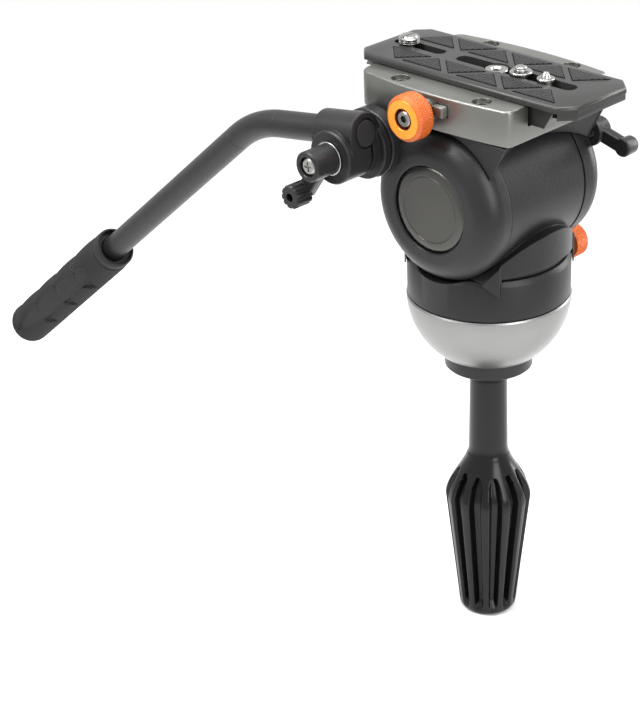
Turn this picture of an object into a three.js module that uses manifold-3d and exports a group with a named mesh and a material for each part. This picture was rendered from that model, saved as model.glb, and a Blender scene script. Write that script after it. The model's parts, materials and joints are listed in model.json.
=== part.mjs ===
// Fluid video head for a 75 mm bowl, with camera plate and pan bar.
// Millimetres, +Z up along the pan axis, +Y towards the lens, +X to the operator's right.
// The origin is the centre of the half ball, on the plane of its lip.
import * as THREE from 'three';
import { mergeVertices } from 'three/addons/utils/BufferGeometryUtils.js';
import Module from 'manifold-3d';

const wasm = await Module();
wasm.setup();

// Values that many pieces share
const gap = 0.3;
const overrun = 3;
const weldDistance = 0.0001;
const roundSides = 36;
const cutterSides = 64;
const knobSides = 18;
const screwSides = 12;
const hiddenSides = 16;
const hexSides = 6;
const arcSteps = 4;

// Half ball and its clamp
const ballRadius = 37.5;
const ballFlatRadius = 23.2;
const studRadius = 4.7625;
const studLength = 84;
const studInSpindle = 18;
const studHeadRadius = 6.2;
const studHeadThickness = 2;
const cupRadius = 20.3;
const cupThickness = 7.2;
const cupDrop = 0.8;
const cupRimRadius = 17;
const cupRimDepth = 1;
const cupNeckRadius = 9.6;
const cupConeRadius = 13.5;
const cupConeHeight = 4;
const stemTopRadius = 8.7;
const stemLowRadius = 9.3;
const stemLength = 45;
const flareLength = 21;
const flareRadius = 20.5;
const gripTaperLength = 62.3;
const gripEndRadius = 13.7;
const gripEndRound = 2.4;
const fluteCount = 12;
const fluteTurnDegrees = 22;
const fluteSides = 8;
const fluteRadius = 3;
const fluteRise = 12;
const fluteEndMargin = 7;
const gripNutRadius = 8;
const gripNutLength = 10;
const gripNutDepth = 5;

// Pan spindle, bearing and drag
const spindleRadius = 8;
const spindleFlangeRadius = 16;
const spindleFlangeThickness = 3.7;
const spindleHeight = 28.3;
const spindleBoreHeight = 20;
const spindleNutRadius = 11;
const spindleNutThickness = 5.4;
const panBearingRadius = 14;
const panBearingThickness = 4.7;
const panStatorRoom = 2;
const panDragThickness = 3.7;

// Pan housing and pan body
const housingLip = 0.5;
const housingRadius = ballRadius - housingLip;
const housingWall = 6;
const housingEdgeHeight = 17;
const housingHeight = 19.3;
const housingShoulder = 1.5;
const housingTopRadius = housingRadius - housingShoulder;
const housingInnerRadius = housingRadius - housingWall;
const housingFloorHeight = 6;
const columnArchRadius = 34;
const columnArchHeight = 4;
const shoulderArchRadius = 125;
const shoulderArchTop = 23.3;
const shoulderBand = 2.6;
const shoulderInnerRadius = housingRadius - shoulderBand;
const fangStand = 1.1;
const fangRadius = housingRadius + fangStand;
const fangTipShare = 0.758;
const fangTipY = housingRadius * fangTipShare;
const fangTipHeight = 13;
const fangRootShare = 0.516;
const fangRootY = housingRadius * fangRootShare;
const fangRootHeight = 22.2;
const fangTopHeight = 30;

// Pan lock
const panLockY = 12;
const panLockHeight = 12.5;
const panLockBossRadius = 4.5;
const panLockBossStand = 2.2;
const panLockBossEnd = housingRadius + panLockBossStand;
const panLockKnobRadius = 8;
const panLockKnobThickness = 7.5;
const panLockScrewRadius = 2.5;
const panLockHeadRadius = 4;
const panLockHeadThickness = 1.6;
const brakeShoeWidth = 6;
const brakeShoeHeight = 3.4;
const brakeShoeThickness = 1.4;

// Tilt drum and what it holds
const tiltHeight = 51;
const drumRadius = 34;
const drumHalfWidth = 24.6;
const drumCavityRadius = 22;
const drumWall = 7.6;
const drumBearingRadius = 11.7;
const axleRadius = 6;
const axleHalfLength = 36.9;

// Cheeks and badges
const cheekRadius = 34.5;
const cheekSeamRadius = 34.3;
const cheekFaceX = 39.8;
const cheekRounding = 10.5;
const cheekPocketInner = 10;
const cheekPocketOuter = 29;
const cheekPocketDepth = 7;
const badgeRadius = 19.5;
const badgeThickness = 1.8;
const badgeRecessDepth = 2.6;

// Rosette boss for the pan bar, on both cheeks
const rosetteY = -33;
const rosetteZ = 23.5;
const rosetteRadius = 15.5;
const rosetteStartX = 33.3;
const rosetteFaceX = 42.5;
const rosetteTrimX = 36.5;
const rosetteThreadDepth = 6.5;

// Saddle between the cheeks and the receiver
const saddleHalfWidth = 33;
const saddleTopHalfLength = 37;
const saddleTop = 35;
const saddleFootHalfLength = 28;
const saddleFoot = 18;
const saddleHollowRadius = 62;
const saddleHollowY = 22;
const saddleHollowZ = 25.9;

// Receiver, measured from the tilt axis
const receiverTop = 51.4;
const receiverFloor = 42;
const receiverLand = 47.1;
const receiverLandHalfWidth = 10;
const receiverLandHalfLength = 30;
const receiverHalfWidth = 33;
const receiverBow = 3;
const receiverFront = 38.5;
const receiverRear = -47;
const receiverFrontRounding = 4;
const receiverRearRounding = 7;
const railInnerX = 20.3;
const receiverScrewX = 29.2;
const receiverScrewFrontY = 21;
const receiverScrewRearY = -25;
const receiverScrewHeadRadius = 3.9;
const receiverScrewHeadHeight = 5;
const receiverScrewSink = 1.8;
const receiverScrewRadius = 2.2;
const receiverScrewReach = 5.5;
const stopPinX = 4;
const stopPinY = 36.6;
const stopPinRadius = 1.25;
const stopPinHeight = 4.5;

// Camera plate, measured from the tilt axis
const plateTop = 54.6;
const plateFlangeThickness = 2.9;
const plateBevel = 1.6;
const plateHalfWidth = 22.3;
const plateFront = 61;
const plateRear = -59.7;
const plateCorner = 6.2;
const footBottom = 47.4;
const footTopHalfWidth = 13.5;
const footHalfWidth = 17;
const footFront = 55.5;
const plateLipDepth = 3.2;
const footRear = -57.5;
const longSlotHalfWidth = 3.7;
const longSlotRear = -18;
const longSlotFront = 47;
const shortSlotHalfWidth = 3.1;
const shortSlotRear = -55;
const shortSlotFront = -26;
const headRoomHalfWidth = 6;
const headRoomDepth = 3.4;
const padCount = 6;
const padPitch = 15.6;
const padStartY = -38.5;
const padBase = 22.3;
const padInnerX = 7.3;
const padOuterX = 18.4;
const padSink = 0.8;
const padThickness = 0.9;

// Screws and pin on the plate
const cameraScrewY = 17.5;
const cameraScrewRadius = 3.175;
const cameraScrewStand = 3.6;
const videoPinY = 31;
const videoPinRadius = 2.1;
const videoPinStand = 4;
const videoPinFlangeRadius = 3.9;
const accessoryScrewY = -47;
const accessoryScrewRadius = 4.7625;
const accessoryScrewStand = 4;
const accessoryShankRadius = 2.7;
const slotHeadRadius = 5.6;
const slotHeadThickness = 2.7;
const washerRadius = 5;
const washerThickness = 1.2;
const bushY = 3.9;
const bushRadius = 5.2;
const bushBoreRadius = 2;
const bushSink = 0.5;

// Clamping jaw, lock knob and safety catch of the receiver
const jawTravel = 1.2;
const jawFront = 51;
const jawFrontLow = 45.8;
const jawRear = -50;
const jawFootX = 12.5;
const plateLockY = -4;
const plateLockZ = 43.5;
const plateLockBossRadius = 5;
const plateLockBossEnd = 38.8;
const plateLockCollarStart = 39.5;
const plateLockCollarRadius = 7.5;
const plateLockKnobStart = 41.8;
const plateLockKnobEnd = 50.8;
const plateLockKnobRadius = 10.3;
const plateLockRecessRadius = 4.6;
const plateLockRecessDepth = 3;
const plateLockScrewRadius = 2.5;
const plateLockHeadRadius = 4;
const plateLockHeadThickness = 2.2;
const catchY = 4.6;
const catchZ = 45.5;
const catchHalfWidth = 3;
const catchHalfHeight = 2.4;
const catchEndX = 39.1;
const catchTravel = 2;

// Tilt lock lever on the left cheek
const tiltLockY = 28.8;
const tiltLockZ = 21.2;
const tiltLockBossRadius = 6.2;
const tiltLockBossEnd = 35.5;
const tiltLockHubRadius = 5.4;
const tiltLockHubLength = 6.5;
const tiltLockArmHalfWidth = 3;
const tiltLockArmLength = 16.3;
const tiltLockArmDegrees = -15;
const tiltLockEndRadius = 4.4;
const tiltLockEndLength = 8;
const tiltLockScrewRadius = 2.2;
const tiltLockScrewDepth = 1.9;

// Bar clamp, measured from the rosette axis
const barSlopeDegrees = 9;
const clampHalfLength = 12;
const clampRadius = 12;
const clampFaceX = 65.7;
const clampDiscRadius = 15;
const clampDiscThickness = 4;
const clampBossRadius = 9.2;
const barX = 54.1;
const barAbove = 8.6;
const clampSlotWidth = 1.3;
const clampSlotX = 51.5;

// Lever of the bar clamp
const leverHubRadius = 6.8;
const leverRingRadius = 7.5;
const leverRingThickness = 2;
const leverHubEnd = 79.5;
const leverRecessRadius = 4.4;
const leverRecessDepth = 2.4;
const leverArmY = -14.6;
const leverArmZ = -15.2;
const leverArmStart = 66.5;
const leverArmEnd = 72;
const leverArmHalfWidth = 3.6;
const leverKnobRadius = 5.4;
const leverKnobStart = 69.6;
const leverKnobEnd = 79;
const leverKnobHoleRadius = 2;
const leverKnobHoleDepth = 5;
const leverScrewRadius = 2;
const leverScrewHeadRadius = 3.9;
const leverScrewHeadThickness = 1.4;

// Pan bar and its grip
const barRadius = 6.2;
const barFront = 11.7;
const barFrontRun = 68.9;
const barRearRun = 146.4;
const barInGrip = 60;
const barBend = 16;
const barBendDegrees = 31.3;
const barSteps = 30;
const barSides = 6;
const plugRadius = 4.6;
const plugDepth = 8;
const gripLength = 113;
const gripRadius = 10.9;
const gripMouthRadius = 9.4;
const gripMouthDepth = 3;
const gripShoulder = 7;
const scallopCount = 4;
const scallopPitch = 23.3;
const scallopStart = 31.5;
const scallopRadius = 5;
const scallopDepth = 1;

// Finishes
const blackCoat = { color: 0x2b2c2f, roughness: 0.55, metalness: 0.3 };
const glossBlack = { color: 0x1b1c1e, roughness: 0.25, metalness: 0.1 };
const brushedSilver = { color: 0xc9c9c8, roughness: 0.35, metalness: 0.9 };
const warmGrey = { color: 0x94958f, roughness: 0.45, metalness: 0.6 };
const darkAnodised = { color: 0x3f4042, roughness: 0.45, metalness: 0.6 };
const brightSteel = { color: 0xd8d8d6, roughness: 0.25, metalness: 1 };
const orangeMetal = { color: 0xeb7a2a, roughness: 0.4, metalness: 0.6 };
const blackRubber = { color: 0x2a2a2b, roughness: 0.85, metalness: 0 };
const brassMetal = { color: 0xb08d45, roughness: 0.4, metalness: 0.9 };
const whitePlastic = { color: 0xd9d6cc, roughness: 0.6, metalness: 0 };

const half = 0.5;
const socketShare = 0.55;
const badgeRimShare = 0.6;
const badgeFlatShare = 0.92;
const tipShare = 0.25;
const leverFluteShare = 0.14;
const leverKnobRibs = 10;
const crossLengthShare = 0.6;
const crossWidthShare = 0.16;
const plugCapShare = 0.9;
const gripEndShare = 0.7;
const gripMouthShare = 0.93;
const quarterTurn = Math.PI / 2;
const radians = THREE.MathUtils.degToRad;

// Joins the shared vertices of a closed geometry and drops what is not its shape.
function welded(geometry) {
  if (geometry.userData.welded) return geometry;
  const bare = geometry.clone();
  bare.deleteAttribute('normal');
  bare.deleteAttribute('uv');
  return mergeVertices(bare, weldDistance);
}

// Six times the volume inside one triangle and the origin, with its sign.
function signedVolume(position, a, b, c) {
  const first = new THREE.Vector3().fromBufferAttribute(position, a);
  const second = new THREE.Vector3().fromBufferAttribute(position, b);
  const third = new THREE.Vector3().fromBufferAttribute(position, c);
  return first.dot(second.cross(third));
}

// Turns a closed geometry into a solid, with its faces pointing out.
function toSolid(geometry) {
  const shape = welded(geometry);
  const position = shape.attributes.position;
  const corners = shape.index.array;
  const triangles = [];
  let volume = 0;
  for (let i = 0; i < corners.length; i += 3) {
    const [a, b, c] = corners.slice(i, i + 3);
    if (a === b || b === c || c === a) continue;
    triangles.push([a, b, c]);
    volume += signedVolume(position, a, b, c);
  }
  const outward = volume < 0 ? triangles.map(([a, b, c]) => [c, b, a]) : triangles;
  return new wasm.Manifold(new wasm.Mesh({
    numProp: 3,
    vertProperties: new Float32Array(position.array),
    triVerts: new Uint32Array(outward.flat()),
  }));
}

// Turns a solid back into a geometry.
function fromSolid(solid) {
  const mesh = solid.getMesh();
  const geometry = new THREE.BufferGeometry();
  geometry.setAttribute('position', new THREE.BufferAttribute(new Float32Array(mesh.vertProperties), 3));
  geometry.setIndex(new THREE.BufferAttribute(new Uint32Array(mesh.triVerts), 1));
  geometry.userData.welded = true;
  return geometry;
}

// Works through a list of geometries, two solids at a time.
function combined(first, rest, combine) {
  return fromSolid(rest.reduce((sum, next) => combine(sum, toSolid(next)), toSolid(first)));
}

const join = (first, ...rest) => combined(first, rest, (sum, next) => sum.add(next));
const cut = (first, ...rest) => combined(first, rest, (left, next) => left.subtract(next));
const common = (first, ...rest) => combined(first, rest, (kept, next) => kept.intersect(next));

// Points on an arc, as pairs, from one angle to another.
function arc(centreU, centreV, radius, startAngle, endAngle, steps = arcSteps) {
  return Array.from({ length: steps + 1 }, (_, i) => {
    const angle = startAngle + (endAngle - startAngle) * i / steps;
    return [centreU + radius * Math.cos(angle), centreV + radius * Math.sin(angle)];
  });
}

// A piece turned about Z, from a half section of pairs of radius and height.
function turned(section, sides = roundSides) {
  const points = section.map(([radius, height]) => new THREE.Vector2(radius, height));
  if (section[0][0] > 0) points.push(points[0].clone());
  return new THREE.LatheGeometry(points, sides).rotateX(quarterTurn);
}

// A plain round bar and a plain ring about Z.
function rod(radius, low, high, sides) {
  return turned([[0, low], [radius, low], [radius, high], [0, high]], sides);
}

function ring(inner, outer, low, high, sides) {
  return turned([[inner, low], [outer, low], [outer, high], [inner, high]], sides);
}

const alongX = (geometry) => geometry.rotateY(quarterTurn);
const alongY = (geometry) => geometry.rotateX(-quarterTurn);
const rodX = (radius, low, high, sides) => alongX(rod(radius, low, high, sides));
const rodY = (radius, low, high, sides) => alongY(rod(radius, low, high, sides));
const mirroredX = (geometry) => fromSolid(toSolid(geometry.clone().scale(-1, 1, 1)));
const mirroredY = (geometry) => fromSolid(toSolid(geometry.clone().scale(1, -1, 1)));

// A flat outline, given as pairs or as a shape, pushed along Z.
function slabZ(outline, low, high) {
  const isShape = outline instanceof THREE.Shape;
  const shape = isShape ? outline : new THREE.Shape(outline.map(([u, v]) => new THREE.Vector2(u, v)));
  const options = { depth: high - low, bevelEnabled: false, curveSegments: arcSteps };
  return new THREE.ExtrudeGeometry(shape, options).translate(0, 0, low);
}

// The same outline read as Y and Z and pushed along X.
const slabX = (outline, low, high) => slabZ(outline, low, high).rotateX(quarterTurn).rotateZ(quarterTurn);

// The same outline read as X and Z and pushed along Y.
const slabY = (outline, low, high) => slabZ(outline, -high, -low).rotateX(quarterTurn);

// A block between two opposite corners.
function block(low, high) {
  const size = high.map((value, i) => value - low[i]);
  const centre = high.map((value, i) => (value + low[i]) * half);
  return new THREE.BoxGeometry(...size).translate(...centre);
}

// A straight slot with round ends, from rear to front.
function slotOutline(halfWidth, rear, front) {
  const shape = new THREE.Shape();
  shape.absarc(0, front - halfWidth, halfWidth, 0, Math.PI, false);
  shape.absarc(0, rear + halfWidth, halfWidth, Math.PI, 2 * Math.PI, false);
  return shape;
}

// A knob about Z whose rim is cut by small grooves.
function ribbedKnob(radius, low, high, ribCount, grooveShare) {
  const pitchAngle = 2 * Math.PI / ribCount;
  const depth = radius * grooveShare;
  const outline = Array.from({ length: ribCount * 2 }, (_, i) => {
    const angle = pitchAngle * i * half;
    const reach = i % 2 ? radius - depth : radius;
    return [reach * Math.cos(angle), reach * Math.sin(angle)];
  });
  return slabZ(outline, low, high);
}

// Adds a named piece to its group, at its place.
function place(group, name, geometry, finish, position = [0, 0, 0]) {
  const shown = geometry.userData.welded ? geometry : fromSolid(toSolid(geometry));
  shown.computeVertexNormals();
  const mesh = new THREE.Mesh(shown, new THREE.MeshStandardMaterial(finish));
  mesh.name = name;
  mesh.position.set(...position);
  group.add(mesh);
  return mesh;
}

const head = new THREE.Group();
const tilting = new THREE.Group();
tilting.position.z = tiltHeight;
head.add(tilting);

// The bowl and everything that stands still with it
const studHoleRadius = studRadius + gap;
const ballFlatHeight = -Math.sqrt(ballRadius ** 2 - ballFlatRadius ** 2);
const ballFlatAngle = Math.asin(ballFlatHeight / ballRadius);
const ballSteps = 6;

function halfBall() {
  const bowl = arc(0, 0, ballRadius, ballFlatAngle, 0, ballSteps);
  return turned([[studHoleRadius, ballFlatHeight], ...bowl, [studHoleRadius, 0]]);
}

const spindleFlangeTop = gap + spindleFlangeThickness;

function panSpindle() {
  return turned([
    [0, spindleBoreHeight],
    [studHoleRadius, spindleBoreHeight],
    [studHoleRadius, gap],
    [spindleFlangeRadius, gap],
    [spindleFlangeRadius, spindleFlangeTop],
    [spindleRadius, spindleFlangeTop],
    [spindleRadius, spindleHeight],
    [0, spindleHeight],
  ]);
}

const spindleHoleRadius = spindleRadius + gap;
const panStatorRadius = housingInnerRadius - panStatorRoom;
const panBearingLow = housingFloorHeight + gap;
const panStatorLow = panBearingLow + panBearingThickness + gap;
const panRotorLow = panStatorLow + panDragThickness + gap;
const bodyUnderside = housingHeight + gap;
const spindleNutTop = spindleHeight - gap;
const spindleNutLow = spindleNutTop - spindleNutThickness;
const studBottom = studInSpindle - studLength;

function clampStud() {
  const shank = rod(studRadius, studBottom, studInSpindle, knobSides);
  return join(shank, rod(studHeadRadius, studBottom - studHeadThickness, studBottom, knobSides));
}

place(head, 'half_ball', halfBall(), brushedSilver);
place(head, 'pan_spindle', panSpindle(), brightSteel);
const panBearing = ring(spindleHoleRadius, panBearingRadius, 0, panBearingThickness, hiddenSides);
const panDragStator = ring(spindleHoleRadius, panStatorRadius, 0, panDragThickness, hiddenSides);
const spindleNut = ring(spindleHoleRadius, spindleNutRadius, 0, spindleNutThickness, hiddenSides);
place(head, 'pan_bearing', panBearing, brightSteel, [0, 0, panBearingLow]);
place(head, 'pan_drag_stator', panDragStator, whitePlastic, [0, 0, panStatorLow]);
place(head, 'spindle_nut', spindleNut, brightSteel, [0, 0, spindleNutLow]);
place(head, 'clamp_stud', clampStud(), brightSteel);

// The cup and the long grip that pull the ball into its bowl
const cupTop = ballFlatHeight - cupDrop;
const cupBottom = cupTop - cupThickness;
const stemTop = cupBottom - cupConeHeight - gap;
const stemBottom = stemTop - stemLength;
const flareBottom = stemBottom - flareLength;
const gripBottom = flareBottom - gripTaperLength;

function clampCup() {
  return turned([
    [studHoleRadius, cupBottom - cupConeHeight],
    [cupNeckRadius, cupBottom - cupConeHeight],
    [cupConeRadius, cupBottom],
    [cupRadius, cupBottom],
    [cupRadius, cupTop],
    [cupRimRadius, cupTop],
    [cupRimRadius, cupTop - cupRimDepth],
    [studHoleRadius, cupTop - cupRimDepth],
  ]);
}

const nutTop = stemTop - gripNutDepth;
const nutBottom = nutTop - gripNutLength;
const studRoomRadius = studHeadRadius + gap;
const studRoomBottom = studBottom - studHeadThickness - gap;

function clampGrip() {
  const rimShare = gripEndRound / gripEndRadius;
  const outside = turned([
    [0, stemTop],
    [stemTopRadius, stemTop],
    [stemLowRadius, stemBottom],
    [flareRadius, flareBottom],
    [gripEndRadius, gripBottom + gripEndRound],
    [gripEndRadius * (1 - rimShare), gripBottom],
    [0, gripBottom],
  ], fluteCount * 3);
  const stemBore = rod(studHoleRadius, nutTop, stemTop + overrun, knobSides);
  const nutRoom = rod(gripNutRadius, nutBottom - gap, nutTop + gap, knobSides);
  const studRoom = rod(studRoomRadius, studRoomBottom, nutBottom, knobSides);
  const lean = Math.atan2(flareRadius - gripEndRadius, gripTaperLength);
  const fluteLength = gripTaperLength - fluteEndMargin;
  const flutes = Array.from({ length: fluteCount }, (_, i) => {
    const groove = rod(fluteRadius, -fluteLength, fluteRise, fluteSides);
    groove.rotateY(lean).translate(flareRadius, 0, flareBottom);
    return groove.rotateZ(2 * Math.PI * i / fluteCount + radians(fluteTurnDegrees));
  });
  return cut(outside, stemBore, nutRoom, studRoom, ...flutes);
}

const clamp = new THREE.Group();
head.add(clamp);
place(clamp, 'clamp_cup', clampCup(), blackCoat);
place(clamp, 'clamp_grip', clampGrip(), glossBlack);
const gripNut = ring(studHoleRadius, gripNutRadius - gap, 0, gripNutLength, knobSides);
place(clamp, 'grip_nut', gripNut, brassMetal, [0, 0, nutBottom]);

// The turning housing above the bowl
const cheekRoomRadius = cheekRadius + gap;
const tiltAxis = [0, 0, tiltHeight];
const onTiltAxis = (geometry) => geometry.translate(...tiltAxis);

// Room for the round cheeks, on both sides of the drum
function cheekRoom() {
  const reach = cheekFaceX + overrun;
  const rightRoom = onTiltAxis(rodX(cheekRoomRadius, drumHalfWidth, reach));
  const leftRoom = onTiltAxis(rodX(cheekRoomRadius, -reach, -drumHalfWidth));
  return [rightRoom, leftRoom];
}

function panHousing() {
  const holeRadius = spindleHoleRadius;
  const flangeRoomRadius = spindleFlangeRadius + gap;
  const flangeRoomTop = spindleFlangeTop + gap;
  const cup = turned([
    [flangeRoomRadius, gap],
    [housingRadius, gap],
    [housingRadius, housingEdgeHeight],
    [housingTopRadius, housingHeight],
    [housingInnerRadius, housingHeight],
    [housingInnerRadius, housingFloorHeight],
    [holeRadius, housingFloorHeight],
    [holeRadius, flangeRoomTop],
    [flangeRoomRadius, flangeRoomTop],
  ]);
  const bossLength = [-panLockBossEnd, -(housingRadius + housingInnerRadius) * half];
  const boss = rodX(panLockBossRadius, ...bossLength, knobSides).translate(0, panLockY, panLockHeight);
  const bossInBowl = common(boss, ring(housingInnerRadius, cheekFaceX, 0, housingHeight));
  const screwHole = rodX(panLockScrewRadius + gap, -cheekFaceX, 0, screwSides);
  screwHole.translate(0, panLockY, panLockHeight);
  return cut(join(cup, bossInBowl), screwHole, ...cheekRoom());
}

// The round barrel that limits the body's top between the cheeks
function columnArch() {
  const barrel = rodY(columnArchRadius, -cheekFaceX, cheekFaceX, cutterSides);
  return barrel.translate(0, 0, columnArchHeight);
}

// The pointed guards beside the cheeks, one at each corner of the body
function fangs() {
  const outline = [
    [fangTipY, fangTipHeight],
    [fangTipY, fangTopHeight],
    [fangRootY, fangTopHeight],
    [fangRootY, fangRootHeight],
  ];
  const wedge = slabX(outline, drumHalfWidth, cheekFaceX);
  const shell = common(wedge, rod(fangRadius, 0, fangTopHeight, roundSides));
  const arch = columnArch();
  const outsideHousing = cut(shell, rod(housingRadius + gap, 0, bodyUnderside, roundSides));
  const frontRight = common(outsideHousing, arch);
  const frontLeft = mirroredX(frontRight);
  return [frontRight, frontLeft, mirroredY(frontRight), mirroredY(frontLeft)];
}

function panBody() {
  const fullDrum = onTiltAxis(rodX(drumRadius, -drumHalfWidth, drumHalfWidth));
  const drum = cut(fullDrum, rod(housingRadius + gap, 0, bodyUnderside));
  const column = common(rod(housingRadius, bodyUnderside, tiltHeight), columnArch());
  const shoulder = ring(shoulderInnerRadius, housingRadius + overrun, 0, tiltHeight);
  const shoulderArch = rodY(shoulderArchRadius, -cheekFaceX, cheekFaceX, cutterSides * 2);
  shoulderArch.translate(0, 0, shoulderArchTop - shoulderArchRadius);
  const body = join(drum, cut(column, common(shoulder, shoulderArch)), ...fangs());
  const cavityStart = -drumHalfWidth - overrun;
  const cavity = onTiltAxis(rodX(drumCavityRadius, cavityStart, drumHalfWidth - drumWall));
  const bearingHole = onTiltAxis(rodX(drumBearingRadius + gap, 0, drumHalfWidth + overrun, knobSides));
  const spindleHole = rod(spindleHoleRadius, 0, tiltHeight, roundSides);
  const nutRoom = rod(spindleNutRadius + gap * 2, spindleNutLow - gap, tiltHeight, knobSides);
  return cut(body, ...cheekRoom(), cavity, bearingHole, spindleHole, nutRoom);
}

function brakeShoe() {
  const outer = housingInnerRadius - gap;
  const band = ring(outer - brakeShoeThickness, outer, 0, brakeShoeHeight);
  const width = brakeShoeWidth * half;
  return common(band, block([-housingRadius, panLockY - width, 0], [0, panLockY + width, brakeShoeHeight]));
}

const axleHoleRadius = axleRadius + gap;
const drumPlateRadius = drumCavityRadius - gap;
const cavityEnd = drumHalfWidth - drumWall;
const brakeShoeLow = panLockHeight - brakeShoeHeight * half;

const panning = new THREE.Group();
head.add(panning);
place(panning, 'pan_housing', panHousing(), blackCoat);
place(panning, 'pan_body', panBody(), blackCoat);
const rotorRadius = drumHalfWidth - gap;
const panDragRotor = ring(spindleHoleRadius + gap, rotorRadius, 0, panDragThickness, hiddenSides);
place(panning, 'pan_drag_rotor', panDragRotor, whitePlastic, [0, 0, panRotorLow]);
place(panning, 'pan_brake_shoe', brakeShoe(), blackRubber, [0, 0, brakeShoeLow]);

// The drag cartridge, spring and bearings inside the drum
const drumInside = new THREE.Group();
drumInside.position.z = tiltHeight;
panning.add(drumInside);
const bearingLength = drumWall - gap;
const springLength = cavityEnd - gap * 2;
const leftBearingStart = -drumHalfWidth + gap;
const cartridgeStart = -cavityEnd + gap;

// A ring about the tilt axle
function axleRing(outerRadius, length) {
  return alongX(ring(axleHoleRadius, outerRadius, 0, length, hiddenSides));
}

place(drumInside, 'left_tilt_bearing', axleRing(drumPlateRadius, bearingLength), brightSteel,
  [leftBearingStart, 0, 0]);
place(drumInside, 'tilt_drag_cartridge', axleRing(drumPlateRadius, cavityEnd - gap), darkAnodised,
  [cartridgeStart, 0, 0]);
place(drumInside, 'counterbalance_spring', axleRing(drumPlateRadius, springLength), brightSteel,
  [gap, 0, 0]);
place(drumInside, 'right_tilt_bearing', axleRing(drumBearingRadius, bearingLength), brightSteel,
  [cavityEnd, 0, 0]);

// The knob that locks the pan, screwed in from the left
const panLockKnobStart = panLockBossEnd + gap;
const panLockKnobEnd = panLockKnobStart + panLockKnobThickness;
const ribGrooveShare = 0.035;
const panLockRibCount = 20;
const shoeFaceX = Math.sqrt((housingInnerRadius - gap) ** 2 - (panLockY - panLockScrewRadius) ** 2);

function panLockKnob() {
  const body = alongX(ribbedKnob(panLockKnobRadius, -panLockKnobEnd, -panLockKnobStart, panLockRibCount,
    ribGrooveShare));
  const headRoom = rodX(panLockHeadRadius + gap, -panLockKnobEnd - overrun,
    -panLockKnobEnd + panLockHeadThickness + gap, knobSides);
  const bore = rodX(panLockScrewRadius + gap, -panLockKnobEnd, -panLockKnobStart + overrun, screwSides);
  return cut(body, headRoom, bore);
}

function panLockScrew() {
  const headStart = -panLockKnobEnd + panLockHeadThickness;
  const shank = rodX(panLockScrewRadius, headStart, -shoeFaceX - gap, screwSides);
  return join(shank, rodX(panLockHeadRadius, -panLockKnobEnd, headStart, knobSides));
}

const panLock = new THREE.Group();
panLock.position.set(0, panLockY, panLockHeight);
head.add(panLock);
place(panLock, 'pan_lock_knob', panLockKnob(), orangeMetal);
place(panLock, 'pan_lock_screw', panLockScrew(), brightSteel);

// The tilting body, measured from the tilt axis
const cheekInnerX = drumHalfWidth + gap;
const badgeFloorX = cheekFaceX - badgeRecessDepth;
const badgeRoomRadius = badgeRadius + gap;

function cheekShell() {
  const bandEnd = cheekFaceX - cheekRounding;
  const rounding = arc(cheekRadius - cheekRounding, bandEnd, cheekRounding, 0, quarterTurn);
  const pocketEnd = cheekInnerX + cheekPocketDepth;
  return alongX(turned([
    [axleHoleRadius, cheekInnerX],
    [cheekPocketInner, cheekInnerX],
    [cheekPocketInner, pocketEnd],
    [cheekPocketOuter, pocketEnd],
    [cheekPocketOuter, cheekInnerX],
    [cheekSeamRadius, cheekInnerX],
    ...rounding,
    [badgeRoomRadius, cheekFaceX],
    [badgeRoomRadius, badgeFloorX],
    [axleHoleRadius, badgeFloorX],
  ]));
}

const leverShankRoom = leverScrewRadius + gap;

// The boss that carries the pan bar's rosette
function rosetteBoss() {
  const boss = rodX(rosetteRadius, rosetteStartX, rosetteFaceX, knobSides * 2);
  boss.translate(0, rosetteY, rosetteZ);
  const deep = rosetteRadius * 2;
  const trimHigh = [rosetteTrimX, rosetteY + deep, saddleTop + deep];
  const underReceiver = block([0, rosetteY - deep, saddleTop], trimHigh);
  return cut(boss, underReceiver);
}

function rosetteThread() {
  const hole = rodX(leverShankRoom, rosetteFaceX - rosetteThreadDepth, rosetteFaceX + overrun, screwSides);
  return hole.translate(0, rosetteY, rosetteZ);
}

function rightCheek() {
  return cut(join(cheekShell(), rosetteBoss()), rosetteThread());
}

function leftCheek() {
  const boss = rodX(tiltLockBossRadius, rosetteStartX, tiltLockBossEnd, knobSides);
  boss.translate(0, tiltLockY, tiltLockZ);
  const hole = rodX(tiltLockScrewRadius + gap, tiltLockBossEnd - tiltLockScrewDepth - gap,
    cheekFaceX + overrun, screwSides);
  hole.translate(0, tiltLockY, tiltLockZ);
  const hubRoom = rodX(tiltLockHubRadius + gap * 2, tiltLockBossEnd, cheekFaceX + overrun, knobSides);
  hubRoom.translate(0, tiltLockY, tiltLockZ);
  return mirroredX(cut(join(rightCheek(), boss), hole, hubRoom));
}

const receiverScrewPlaces = [
  [receiverScrewX, receiverScrewFrontY],
  [-receiverScrewX, receiverScrewFrontY],
  [receiverScrewX, receiverScrewRearY],
  [-receiverScrewX, receiverScrewRearY],
];
const screwHeadTop = receiverTop - receiverScrewSink;
const screwSeat = screwHeadTop - receiverScrewHeadHeight;
const screwEnd = saddleTop - receiverScrewReach;

// The same hole at each of the receiver's four screws
function receiverHoles(radius, low, high) {
  return receiverScrewPlaces.map(([x, y]) => rod(radius, low, high, screwSides).translate(x, y, 0));
}

// A hollow that leans with the saddle's front face
function saddleHollow() {
  const reach = saddleTop * 2;
  const run = saddleTopHalfLength - saddleFootHalfLength;
  const lean = Math.atan2(run, saddleTop - saddleFoot);
  const tool = rod(saddleHollowRadius, -reach, reach, cutterSides).rotateX(-lean);
  return tool.translate(0, saddleHollowY + saddleHollowRadius / Math.cos(lean), saddleHollowZ);
}

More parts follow.
